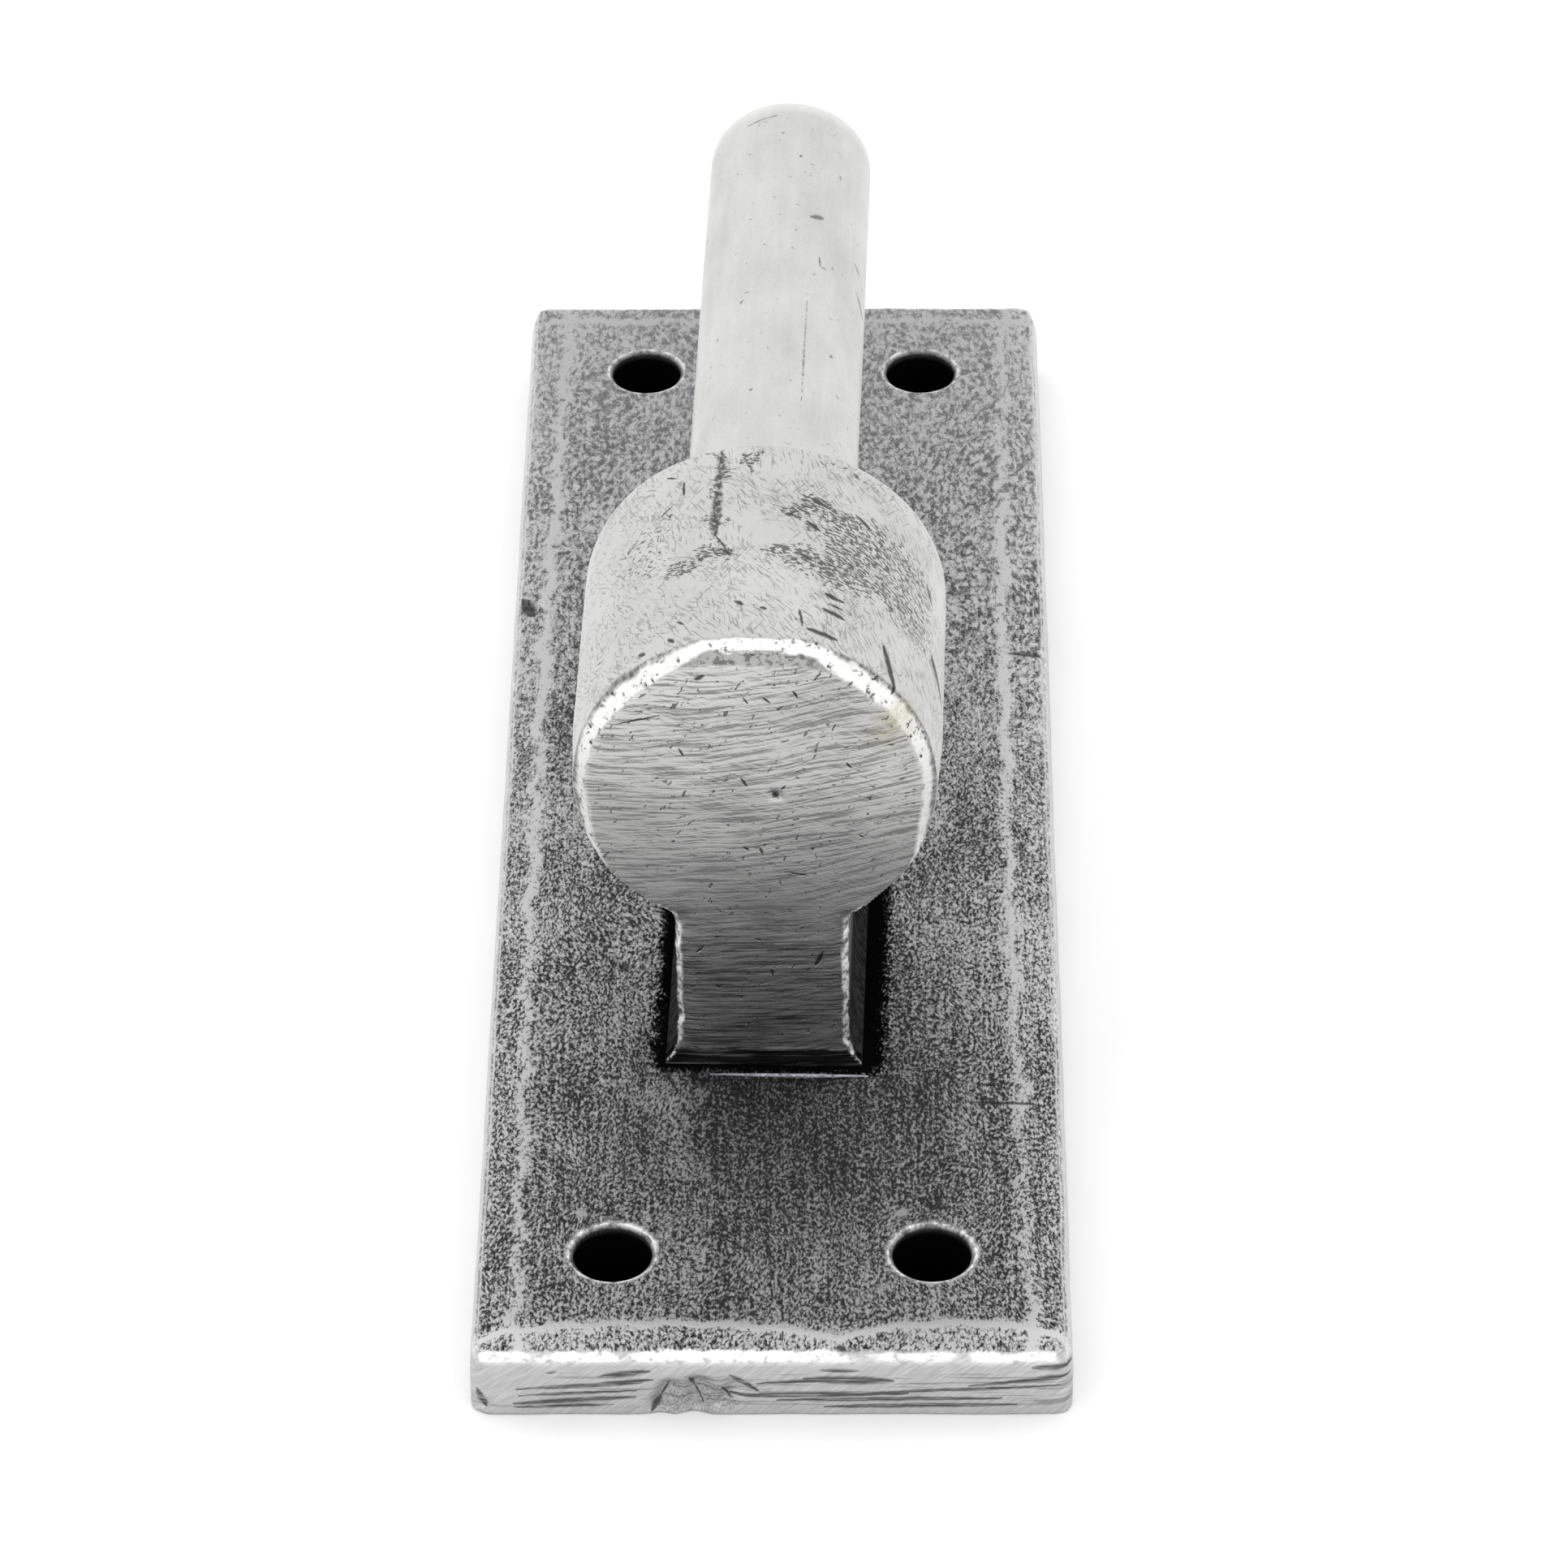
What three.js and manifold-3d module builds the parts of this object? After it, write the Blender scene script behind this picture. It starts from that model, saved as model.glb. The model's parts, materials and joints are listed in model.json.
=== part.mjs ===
// A forged hinge pintle on a back plate: the fixed half of a strap hinge for a gate or door.
// It lies on its back, in millimetres. X runs across the plate, +Y towards the pin's free end, and +Z out of
// the plate's face. The origin is the centre of the plate's back.

import * as THREE from "three";
import { mergeVertices } from "three/addons/utils/BufferGeometryUtils.js";
import Module from "manifold-3d";

// Back plate
const plateWidth = 40;
const plateLength = 120;
const plateThickness = 6;
const plateCornerRadius = 1.2;
const marginWidth = 2.8; // hammered slope along the face's four edges
const marginDrop = 0.4;
const backEdgeChamfer = 0.2;

// Screw holes, drilled through the plate
const screwHoleDiameter = 5.3;
const screwHoleChamfer = 0.3;
const screwHoleSpacingAcross = 21.3;
const nearHoleInset = 9.5; // hole centres to the plate's near end
const farHoleInset = 9.1; // hole centres to the plate's far end

// Hook: boss, neck, foot and tenon in one forging
const hookFromNearEnd = 39.6; // plate's near end to the middle of the neck
const hookOffset = -0.85; // hand-fitted a little to the left of the plate's centre line
const hookTurn = 1.5; // degrees that the hook is turned on the plate, its pin towards +X
const hookLength = 22.2; // boss and neck along the pin
const bossDiameter = 25;
const bossNearEdgeRadius = 1.2; // worn edge round the plain end
const bossShoulderRadius = 0.4; // edge round the end that the pin comes out of
const pinHeight = 24.2; // plate's face to the pin's axis
const neckWidth = 12;
const neckEdgeChamfer = 0.6;
const footFlare = 1.1; // radius of the hollow flare where the neck meets the plate
const tenonWidth = 8;
const tenonLength = 15;

// Pin
const pinDiameter = 12;
const pinReach = 52.2; // boss to the pin's free end
const pinDepth = 14; // length held inside the boss
const pinEndChamfer = 0.4;

// Clearances between pieces
const tenonClearance = 0.3; // all round the tenon in its mortise
const pinClearance = 0.3; // round the pin and beyond its inner end

// Fineness of curves, and how far a cutting tool runs past the surface it cuts
const roundSegments = 64;
const filletSegments = 6;
const overrun = 1;

const wasm = await Module();
wasm.setup();

const plateHalf = { across: plateWidth / 2, along: plateLength / 2 };
const holeRadius = screwHoleDiameter / 2;
const bossRadius = bossDiameter / 2;
const pinRadius = pinDiameter / 2;
const boreRadius = pinRadius + pinClearance;
const neckHalf = { across: neckWidth / 2, along: hookLength / 2 };

// The hook's own frame: origin on the plate's face under the middle of the neck, +Y along the pin.
const hookPlace = new THREE.Matrix4()
  .makeTranslation(hookOffset, hookFromNearEnd - plateHalf.along, plateThickness)
  .multiply(new THREE.Matrix4().makeRotationZ(-THREE.MathUtils.degToRad(hookTurn)));

// Turns a closed three.js geometry into a solid that can be joined and cut.
function toSolid(geometry) {
  const bare = geometry.clone();
  bare.deleteAttribute("normal");
  bare.deleteAttribute("uv");
  const merged = mergeVertices(bare, 1e-4);
  return new wasm.Manifold(
    new wasm.Mesh({
      numProp: 3,
      vertProperties: merged.attributes.position.array,
      triVerts: new Uint32Array(merged.index.array),
    }),
  );
}

function toGeometry(solid) {
  const mesh = solid.getMesh();
  const geometry = new THREE.BufferGeometry();
  geometry.setAttribute("position", new THREE.BufferAttribute(mesh.vertProperties, 3));
  geometry.setIndex(new THREE.BufferAttribute(mesh.triVerts, 1));
  const flat = geometry.toNonIndexed();
  flat.computeVertexNormals();
  return flat;
}

// A prism standing on z = low, from an outline in X and Y.
function prismUp(outline, low, high) {
  const depth = high - low;
  const geometry = new THREE.ExtrudeGeometry(outline, { depth, bevelEnabled: false });
  return toSolid(geometry.translate(0, 0, low));
}

// A bar along Y with a section in X and Z, centred on y = 0.
function barAlongY(section, length) {
  const geometry = new THREE.ExtrudeGeometry(section, { depth: length, bevelEnabled: false });
  return toSolid(geometry.translate(0, 0, -length / 2).rotateX(Math.PI / 2));
}

// A bar along X with a section in Y and Z, centred on x = 0.
function barAlongX(section, length) {
  const geometry = new THREE.ExtrudeGeometry(section, { depth: length, bevelEnabled: false });
  return toSolid(geometry.translate(0, 0, -length / 2).rotateX(Math.PI / 2).rotateZ(Math.PI / 2));
}

// A turned solid about the Y axis, from [radius, y] points that start and end on the axis with y rising.
function turnedAlongY(profile) {
  const points = profile.map(([radius, y]) => new THREE.Vector2(radius, y));
  return toSolid(new THREE.LatheGeometry(points, roundSegments));
}

// A quarter circle as [u, v] points about (centreU, centreV), from one angle to another in degrees.
function arc(centreU, centreV, radius, from, to) {
  return Array.from({ length: filletSegments + 1 }, (_, i) => {
    const angle = THREE.MathUtils.degToRad(from + ((to - from) * i) / filletSegments);
    return [centreU + radius * Math.cos(angle), centreV + radius * Math.sin(angle)];
  });
}

function outlineOf(points) {
  return new THREE.Shape(points.map(([u, v]) => new THREE.Vector2(u, v)));
}

function rectangle(halfU, halfV, cornerCut = 0) {
  const cut = cornerCut;
  const corners = [
    [-halfU + cut, -halfV],
    [halfU - cut, -halfV],
    [halfU, -halfV + cut],
    [halfU, halfV - cut],
    [halfU - cut, halfV],
    [-halfU + cut, halfV],
    [-halfU, halfV - cut],
    [-halfU, -halfV + cut],
  ];
  return outlineOf(cut > 0 ? corners : corners.filter((_, i) => i % 2 === 0));
}

function roundedRectangle(halfU, halfV, radius) {
  const u = halfU - radius;
  const v = halfV - radius;
  return outlineOf([
    ...arc(u, v, radius, 0, 90),
    ...arc(-u, v, radius, 90, 180),
    ...arc(-u, -v, radius, 180, 270),
    ...arc(u, -v, radius, 270, 360),
  ]);
}

// The plate's section across a pair of edges: hammered slopes at the face, a small chamfer at the back.
function plateSection(half) {
  return outlineOf([
    [-half + backEdgeChamfer, 0],
    [half - backEdgeChamfer, 0],
    [half, backEdgeChamfer],
    [half, plateThickness - marginDrop],
    [half - marginWidth, plateThickness],
    [-half + marginWidth, plateThickness],
    [-half, plateThickness - marginDrop],
    [-half, backEdgeChamfer],
  ]);
}

// What a drill and a countersink take out for one screw hole, standing on its centre.
function screwHole(x, y) {
  const drill = turnedAlongY([
    [0, -overrun],
    [holeRadius, -overrun],
    [holeRadius, plateThickness - screwHoleChamfer],
    [holeRadius + screwHoleChamfer + overrun, plateThickness + overrun],
    [0, plateThickness + overrun],
  ]);
  return drill.rotate([90, 0, 0]).translate([x, y, 0]);
}

function screwHoles() {
  const near = nearHoleInset - plateHalf.along;
  const far = plateHalf.along - farHoleInset;
  const across = screwHoleSpacingAcross / 2;
  return [near, far].flatMap((y) => [-across, across].map((x) => screwHole(x, y)));
}

function mortise() {
  const outline = rectangle(tenonWidth / 2 + tenonClearance, tenonLength / 2 + tenonClearance);
  const cutter = prismUp(outline, -plateThickness - overrun, overrun);
  return cutter.transform(hookPlace.elements);
}

function backPlate() {
  const outline = roundedRectangle(plateHalf.across, plateHalf.along, plateCornerRadius);
  const shaped = prismUp(outline, 0, plateThickness)
    .intersect(barAlongY(plateSection(plateHalf.across), plateLength))
    .intersect(barAlongX(plateSection(plateHalf.along), plateWidth));
  return [mortise(), ...screwHoles()].reduce((plate, cutter) => plate.subtract(cutter), shaped);
}

// The boss: a round with its plain end's edge worn to a large radius.
function boss() {
  const end = neckHalf.along;
  const near = bossNearEdgeRadius;
  const shoulder = bossShoulderRadius;
  return turnedAlongY([
    [0, -end],
    ...arc(bossRadius - near, near - end, near, 270, 360),
    ...arc(bossRadius - shoulder, end - shoulder, shoulder, 0, 90),
    [0, end],
  ]).translate([0, 0, pinHeight]);
}

function neck() {
  return prismUp(rectangle(neckHalf.across, neckHalf.along, neckEdgeChamfer), 0, pinHeight);
}

// The foot's section: the neck widening in a hollow quarter round down to the plate's face.
function footSection(half) {
  return outlineOf([
    ...arc(-half - footFlare, footFlare, footFlare, 270, 360),
    ...arc(half + footFlare, footFlare, footFlare, 180, 270),
  ]);
}

function foot() {
  const across = neckHalf.across;
  const along = neckHalf.along;
  const overall = 2 * footFlare;
  return barAlongY(footSection(across), 2 * along + overall)
    .intersect(barAlongX(footSection(along), 2 * across + overall));
}

function tenon() {
  return prismUp(rectangle(tenonWidth / 2, tenonLength / 2), -plateThickness, overrun);
}

function pinBore() {
  const mouth = neckHalf.along;
  const bottom = mouth - pinDepth - pinClearance;
  return turnedAlongY([
    [0, bottom],
    [boreRadius, bottom],
    [boreRadius, mouth + overrun],
    [0, mouth + overrun],
  ]).translate([0, 0, pinHeight]);
}

function hookBody() {
  return boss().add(neck()).add(foot()).add(tenon()).subtract(pinBore()).transform(hookPlace.elements);
}

function pin() {
  const inner = neckHalf.along - pinDepth;
  const outer = neckHalf.along + pinReach;
  return turnedAlongY([
    [0, inner],
    [pinRadius - pinEndChamfer, inner],
    [pinRadius, inner + pinEndChamfer],
    [pinRadius, outer - pinEndChamfer],
    [pinRadius - pinEndChamfer, outer],
    [0, outer],
  ])
    .translate([0, 0, pinHeight])
    .transform(hookPlace.elements);
}

function part(name, solid, color, roughness, metalness) {
  const material = new THREE.MeshStandardMaterial({ color, roughness, metalness });
  const mesh = new THREE.Mesh(toGeometry(solid), material);
  mesh.name = name;
  return mesh;
}

const pintle = new THREE.Group();
pintle.name = "hinge_pintle";
pintle.add(
  part("back_plate", backPlate(), 0x7d7d7f, 0.55, 0.9),
  part("hook_body", hookBody(), 0xa9a9ab, 0.42, 0.9),
  part("pin", pin(), 0xc9c9c8, 0.35, 0.9),
);

export default pintle;
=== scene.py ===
"""The looks of a forged hinge pintle: a hammered back plate, a ground steel hook and a bright round pin."""

import json
import math
from contextlib import contextmanager

import bmesh
import bpy
import numpy as np
from bpy.props import FloatProperty, FloatVectorProperty, PointerProperty
from mathutils import Matrix, Vector, noise


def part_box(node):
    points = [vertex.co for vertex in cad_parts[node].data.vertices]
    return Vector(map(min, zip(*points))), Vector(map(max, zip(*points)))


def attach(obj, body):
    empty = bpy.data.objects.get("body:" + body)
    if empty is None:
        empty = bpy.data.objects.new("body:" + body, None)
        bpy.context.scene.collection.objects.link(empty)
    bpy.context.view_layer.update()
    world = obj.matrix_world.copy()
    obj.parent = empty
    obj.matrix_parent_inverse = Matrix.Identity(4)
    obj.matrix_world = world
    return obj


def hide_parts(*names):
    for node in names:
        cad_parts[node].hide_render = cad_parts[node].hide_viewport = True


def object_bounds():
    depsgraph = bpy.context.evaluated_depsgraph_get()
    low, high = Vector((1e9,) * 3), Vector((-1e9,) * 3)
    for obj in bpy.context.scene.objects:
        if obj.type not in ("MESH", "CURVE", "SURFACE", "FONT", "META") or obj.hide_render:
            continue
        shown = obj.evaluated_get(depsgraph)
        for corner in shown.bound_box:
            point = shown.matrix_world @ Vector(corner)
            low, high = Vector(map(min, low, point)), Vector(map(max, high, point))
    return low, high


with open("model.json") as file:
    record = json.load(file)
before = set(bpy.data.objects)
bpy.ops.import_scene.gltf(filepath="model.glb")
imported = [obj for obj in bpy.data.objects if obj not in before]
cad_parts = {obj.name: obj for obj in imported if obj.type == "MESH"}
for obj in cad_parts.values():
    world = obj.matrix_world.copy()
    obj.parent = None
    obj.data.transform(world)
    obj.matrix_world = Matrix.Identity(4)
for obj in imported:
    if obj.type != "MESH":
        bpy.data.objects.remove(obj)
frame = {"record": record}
cad_low, cad_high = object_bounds()

bl_info = {
    "name": "Forged Hinge Pintle",
    "version": (1, 0, 0),
    "blender": (4, 5, 0),
    "location": "3D View > Sidebar > Pintle",
    "description": "Builds the forged plate, hook and pin of a hinge pintle, and a stage to see them on",
    "category": "Object",
}

MM = 0.001

# What the frame says, in metres
plate_low, plate_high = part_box("back_plate")
_, hook_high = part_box("hook_body")
pin_low, pin_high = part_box("pin")
mounts = {mount["name"]: mount for mount in frame["record"]["mounts"]}
PIN_WAY = Vector(mounts["hinge_seat"]["axis"])
FACE = plate_high.z
PIN_HEIGHT = (pin_low.z + pin_high.z) / 2 - FACE
PIN_RADIUS = (pin_high.z - pin_low.z) / 2
BOSS_RADIUS = hook_high.z - FACE - PIN_HEIGHT
HOOK_TURN = -math.atan2(PIN_WAY.x, PIN_WAY.y)
SEAT = Vector((*mounts["hinge_seat"]["pos_m"][:2], FACE))
PIN_END = Vector((*mounts["pin_end"]["pos_m"][:2], FACE))
HOOK_LENGTH = 22.2 * MM
HOOK_ORIGIN = SEAT - PIN_WAY * HOOK_LENGTH / 2
PIN_REACH = (PIN_END - SEAT).length

BLACK = (0.0, 0.0, 0.0, 1.0)
FROM_ABOVE = (1.0, 1.0, 0.0)


# Sizes and colours that a user would change

def length(name, description, default):
    """A length property whose default is in metres."""
    return FloatProperty(name=name, description=description, default=default, min=0.0,
                         precision=5, subtype="DISTANCE", unit="LENGTH")


def colour(name, description, default):
    """A colour property."""
    return FloatVectorProperty(name=name, description=description, default=default, size=3,
                               min=0.0, max=1.0, subtype="COLOR")


class PlateSettings(bpy.types.PropertyGroup):
    """The hammered back plate."""

    width: length("Width", "Across the plate", plate_high.x - plate_low.x)
    height: length("Length", "Along the plate", plate_high.y - plate_low.y)
    thickness: length("Thickness", "From the back to the face", plate_high.z - plate_low.z)
    corner: length("Corner radius", "Radius of the plate's four corners, seen from above", 1.3 * MM)
    margin: length("Margin", "Width of the hammered margin along each side", 2.9 * MM)
    drop: length("Margin drop", "How far the hammered margins fall away", 0.42 * MM)
    hole: length("Hole radius", "Radius of the four screw holes", 2.65 * MM)
    hole_spacing: length("Hole spacing", "Between the holes of a pair", 21.3 * MM)
    near_inset: length("Near hole inset", "From the near end to its holes", 9.5 * MM)
    far_inset: length("Far hole inset", "From the far end to its holes", 9.1 * MM)
    recess: colour("Recess colour", "Blackened steel left in the pits", (0.030, 0.030, 0.032))
    peak: colour("Peak colour", "Brushed steel on the high points of the grain", (0.425, 0.425, 0.43))
    # A painted highlight: the pale line along the front of the hook's foot
    foot_highlight: colour("Sliver colour", "Bare bright steel along the hook's foot", (0.66, 0.65, 0.72))


class HookSettings(bpy.types.PropertyGroup):
    """The hook: a round boss on a square neck, with a tenon through the plate."""

    neck_width: length("Neck width", "Across the neck", 11.8 * MM)
    neck_chamfer: length("Neck chamfer", "Width of the neck's worn edges", 0.46 * MM)
    near_rim: length("Near rim", "Width of the worn rim round the near face", 0.9 * MM)
    far_rim: length("Far rim", "Width of the rounded rim at the pin", 0.35 * MM)
    flare: length("Foot flare", "How far the foot spreads at the plate", 1.05 * MM)
    tenon_width: length("Tenon width", "Across the tenon", 8.0 * MM)
    tenon_length: length("Tenon length", "Along the tenon", 15.0 * MM)
    steel: colour("Steel colour", "Ground and brushed steel", (0.48, 0.48, 0.474))
    # This black is used for unbrushed patina and for painted shade round the hook's foot, low on the neck's
    # sides and inside the plate's holes
    patina_and_shade: colour("Soot colour", "Black left where the brush can't reach", (0.0022, 0.0022, 0.0024))
    stain: colour("Stain colour", "One brown stain beside the near rim", (0.40, 0.35, 0.18))


class PinSettings(bpy.types.PropertyGroup):
    """The round pin that the hinge's eye drops over."""

    depth: length("Depth", "How far the pin goes into the boss", 14.0 * MM)
    chamfer: length("End chamfer", "Width of the chamfer at the pin's end", 0.28 * MM)
    steel: colour("Steel colour", "Satin drawn steel", (0.555, 0.555, 0.543))


class StageSettings(bpy.types.PropertyGroup):
    """The floor, the lights and the camera."""

    floor: colour("Floor colour", "A plain pale floor", (0.93, 0.93, 0.93))
    sky: FloatProperty(name="Sky strength", description="Brightness of the white surroundings",
                       default=1.28, min=0.0)
    key: FloatProperty(name="Key light", description="Power of the large soft light, in watts",
                       default=0.5, min=0.0)
    eye: FloatVectorProperty(name="Camera place", description="Where the camera stands", size=3,
                             default=(0.00567, -0.3989, 0.32472), subtype="TRANSLATION", unit="LENGTH")
    pitch: FloatProperty(name="Pitch", description="How far the camera looks down", default=0.67481,
                         subtype="ANGLE", unit="ROTATION")
    yaw: FloatProperty(name="Yaw", description="How far the camera turns to the right", default=-0.01318,
                       subtype="ANGLE", unit="ROTATION")
    roll: FloatProperty(name="Roll", description="How far the camera tips", default=-0.00925,
                        subtype="ANGLE", unit="ROTATION")
    lens: FloatProperty(name="Lens", description="Focal length in millimetres", default=162.3, min=1.0)


# Ways of working

def only(piece):
    """Makes the piece the one selected and active object."""
    for other in list(bpy.context.selected_objects):
        other.select_set(False)
    piece.select_set(True)
    bpy.context.view_layer.objects.active = piece


@contextmanager
def editing(piece, mode="FACE"):
    """Edit mode on one piece, in vertex, edge or face selection."""
    only(piece)
    bpy.ops.object.mode_set(mode="EDIT")
    bpy.ops.mesh.select_mode(type=mode)
    yield
    bpy.ops.object.mode_set(mode="OBJECT")


def pick(piece, kind, wanted):
    """In edit mode, selects the faces, edges or verts for which wanted is true, and returns how many."""
    bpy.ops.mesh.select_all(action="DESELECT")
    working = bmesh.from_edit_mesh(piece.data)
    chosen = [element for element in getattr(working, kind) if wanted(element)]
    for element in chosen:
        element.select_set(True)
    bmesh.update_edit_mesh(piece.data)
    return len(chosen)


def middle(element):
    """The middle of an edge or face."""
    return sum((vertex.co for vertex in element.verts), Vector()) / len(element.verts)


def cube(name, low, high):
    """A box between two corners, with its place in its mesh."""
    low, high = Vector(low), Vector(high)
    bpy.ops.mesh.primitive_cube_add(size=1, location=(low + high) / 2)
    made = bpy.context.object
    made.name = made.data.name = name
    made.scale = high - low
    only(made)
    bpy.ops.object.transform_apply(location=True, rotation=True, scale=True)
    return made


def cylinder(name, radius, low, high, segments):
    """An upright cylinder between two heights, with its place in its mesh."""
    bpy.ops.mesh.primitive_cylinder_add(vertices=segments, radius=radius, depth=high - low,
                                        location=(0, 0, (low + high) / 2))
    made = bpy.context.object
    made.name = made.data.name = name
    only(made)
    bpy.ops.object.transform_apply(location=True, rotation=True, scale=True)
    return made


def settle(piece, matrix):
    """Moves and turns the piece, and puts its new place in its mesh."""
    only(piece)
    piece.matrix_world = matrix
    bpy.ops.object.transform_apply(location=True, rotation=True, scale=True)


def cut_across(piece, axis, places):
    """Cuts edges right round the piece at each place along an axis."""
    with editing(piece):
        for place in places:
            point, normal = Vector(), Vector()
            point[axis] = place
            normal[axis] = 1.0
            bpy.ops.mesh.select_all(action="SELECT")
            bpy.ops.mesh.bisect(plane_co=point, plane_no=normal)


def apply(piece, kind, **settings):
    """Adds a modifier and applies it."""
    only(piece)
    modifier = piece.modifiers.new(kind.title(), kind)
    for setting, value in settings.items():
        setattr(modifier, setting, value)
    bpy.ops.object.modifier_apply(modifier=modifier.name)


def join_or_cut(piece, tool, operation):
    """Joins the tool to the piece or cuts it away, and removes the tool."""
    apply(piece, "BOOLEAN", operation=operation, object=tool, solver="EXACT")
    bpy.data.objects.remove(tool)


def places_of(piece):
    """Every vertex place in the part's frame, in millimetres."""
    flat = np.empty(len(piece.data.vertices) * 3)
    piece.data.vertices.foreach_get("co", flat)
    return flat.reshape(-1, 3) / MM


def move_to(piece, places):
    """Puts every vertex at its new place, in millimetres."""
    piece.data.vertices.foreach_set("co", (places * MM).ravel())
    piece.data.update()


def normals_of(piece):
    """Every vertex normal."""
    flat = np.empty(len(piece.data.vertices) * 3, np.float32)
    piece.data.vertex_normals.foreach_get("vector", flat)
    return flat.reshape(-1, 3).astype(float)


def store(piece, name, values):
    """Keeps one number for each vertex, for the piece's material to read."""
    attribute = piece.data.attributes.new(name, "FLOAT", "POINT")
    attribute.data.foreach_set("value", np.clip(values, 0.0, 1.0).astype(np.float32))


def rough(places, size, seed):
    """Smooth noise from about -1 to 1 at each place, with lumps of that size in millimetres."""
    shift = Vector((seed * 3.7, seed * 5.3, seed * 7.9))
    return np.array([noise.noise(Vector(place) / size + shift) for place in places])


def hollows(places, size, seed):
    """Smooth noise from about 0 to 1 at each place."""
    return 0.5 + 0.5 * rough(places, size, seed)


def ease(values, low, high):
    """Rises smoothly from 0 at low to 1 at high. Falls instead where low is above high."""
    part = np.clip((values - low) / (high - low), 0.0, 1.0)
    return part * part * (3.0 - 2.0 * part)


def dished(values, pitch, seed):
    """A row of shallow dishes side by side: 0 where two meet, and 1 in the middle of each."""
    turn = values / pitch + 0.22 * np.sin(values / (0.53 * pitch) + seed)
    return 1.0 - (2.0 * (turn - np.floor(turn)) - 1.0) ** 2


def near_line(places, start, end):
    """Each place's distance from a straight stroke, in millimetres."""
    start, along = np.array(start, float), np.subtract(end, start).astype(float)
    part = np.clip((places - start) @ along / max(along @ along, 1e-9), 0.0, 1.0)
    return np.linalg.norm(places - start - part[:, None] * along, axis=1)


def proudness(piece, passes):
    """How far each vertex stands above its neighbours, as a share of their spacing: under 0 in a crease."""
    mesh = piece.data
    pairs = np.empty(len(mesh.edges) * 2, np.int32)
    mesh.edges.foreach_get("vertices", pairs)
    first, second = pairs.reshape(-1, 2).T
    places, normals = places_of(piece), normals_of(piece)
    count = np.zeros(len(places))
    np.add.at(count, first, 1)
    np.add.at(count, second, 1)
    count = np.maximum(count, 1)

    def around(values):
        total = np.zeros_like(values)
        np.add.at(total, first, values[second])
        np.add.at(total, second, values[first])
        return total / (count if values.ndim == 1 else count[:, None])

    reach = np.zeros(len(places))
    step = np.linalg.norm(places[first] - places[second], axis=1)
    np.add.at(reach, first, step)
    np.add.at(reach, second, step)
    result = np.einsum("ij,ij->i", places - around(places), normals) / np.maximum(reach / count, 1e-6)
    for _ in range(passes):
        result = (result + around(result)) / 2
    return result


# Finishes

def stroke_group():
    """A node group that gives 1 on a straight stroke and 0 away from it, narrowing at both its ends."""
    group = bpy.data.node_groups.new("Stroke", "ShaderNodeTree")
    for name in ("Place", "Start", "Along"):
        group.interface.new_socket(name, in_out="INPUT", socket_type="NodeSocketVector")
    group.interface.new_socket("Width", in_out="INPUT", socket_type="NodeSocketFloat")
    group.interface.new_socket("Mark", in_out="OUTPUT", socket_type="NodeSocketFloat")
    given, result = group.nodes.new("NodeGroupInput"), group.nodes.new("NodeGroupOutput")

    def add(kind, operation, *values):
        made = group.nodes.new(kind)
        made.operation = operation
        for socket, value in zip(made.inputs, values):
            if isinstance(value, (int, float)):
                socket.default_value = value
            else:
                group.links.new(value, socket)
        return made

    def vector(operation, *values):
        return add("ShaderNodeVectorMath", operation, *values)

    def number(operation, *values):
        return add("ShaderNodeMath", operation, *values).outputs[0]

    place, start, along, width = (given.outputs[name] for name in ("Place", "Start", "Along", "Width"))
    out = vector("SUBTRACT", place, start).outputs[0]
    covered = vector("DOT_PRODUCT", out, along).outputs["Value"]
    whole = vector("DOT_PRODUCT", along, along).outputs["Value"]
    part = number("MINIMUM", number("MAXIMUM", number("DIVIDE", covered, whole), 0.0), 1.0)
    nearest = vector("SCALE", along)
    group.links.new(part, nearest.inputs["Scale"])
    away = vector("DISTANCE", out, nearest.outputs[0]).outputs["Value"]
    bulge = number("MULTIPLY", part, number("SUBTRACT", 1.0, part))
    local_width = number("MULTIPLY", width, number("MULTIPLY_ADD", bulge, 2.6, 0.35))
    mark = number("SUBTRACT", 1.0, number("DIVIDE", away, local_width))
    group.links.new(number("MULTIPLY", number("MAXIMUM", mark, 0.0), 1.6), result.inputs["Mark"])
    return group


class Value:
    """A number that a finish's nodes work out. Sums on it add more nodes."""

    def __init__(self, finish, socket):
        self.finish = finish
        self.socket = socket

    def __add__(self, other):
        return self.finish.math("ADD", self, other)

    def __radd__(self, other):
        return self.finish.math("ADD", other, self)

    def __sub__(self, other):
        return self.finish.math("SUBTRACT", self, other)

    def __rsub__(self, other):
        return self.finish.math("SUBTRACT", other, self)

    def __mul__(self, other):
        return self.finish.math("MULTIPLY", self, other)

    def __abs__(self):
        return self.finish.math("ABSOLUTE", self)

    def between(self, low, high, at_low=0.0, at_high=1.0):
        """The value eased from one range to another."""
        ranges = {"Value": self, "From Min": low, "From Max": high, "To Min": at_low, "To Max": at_high}
        return self.finish.number("ShaderNodeMapRange", ranges, interpolation_type="SMOOTHSTEP")


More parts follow.
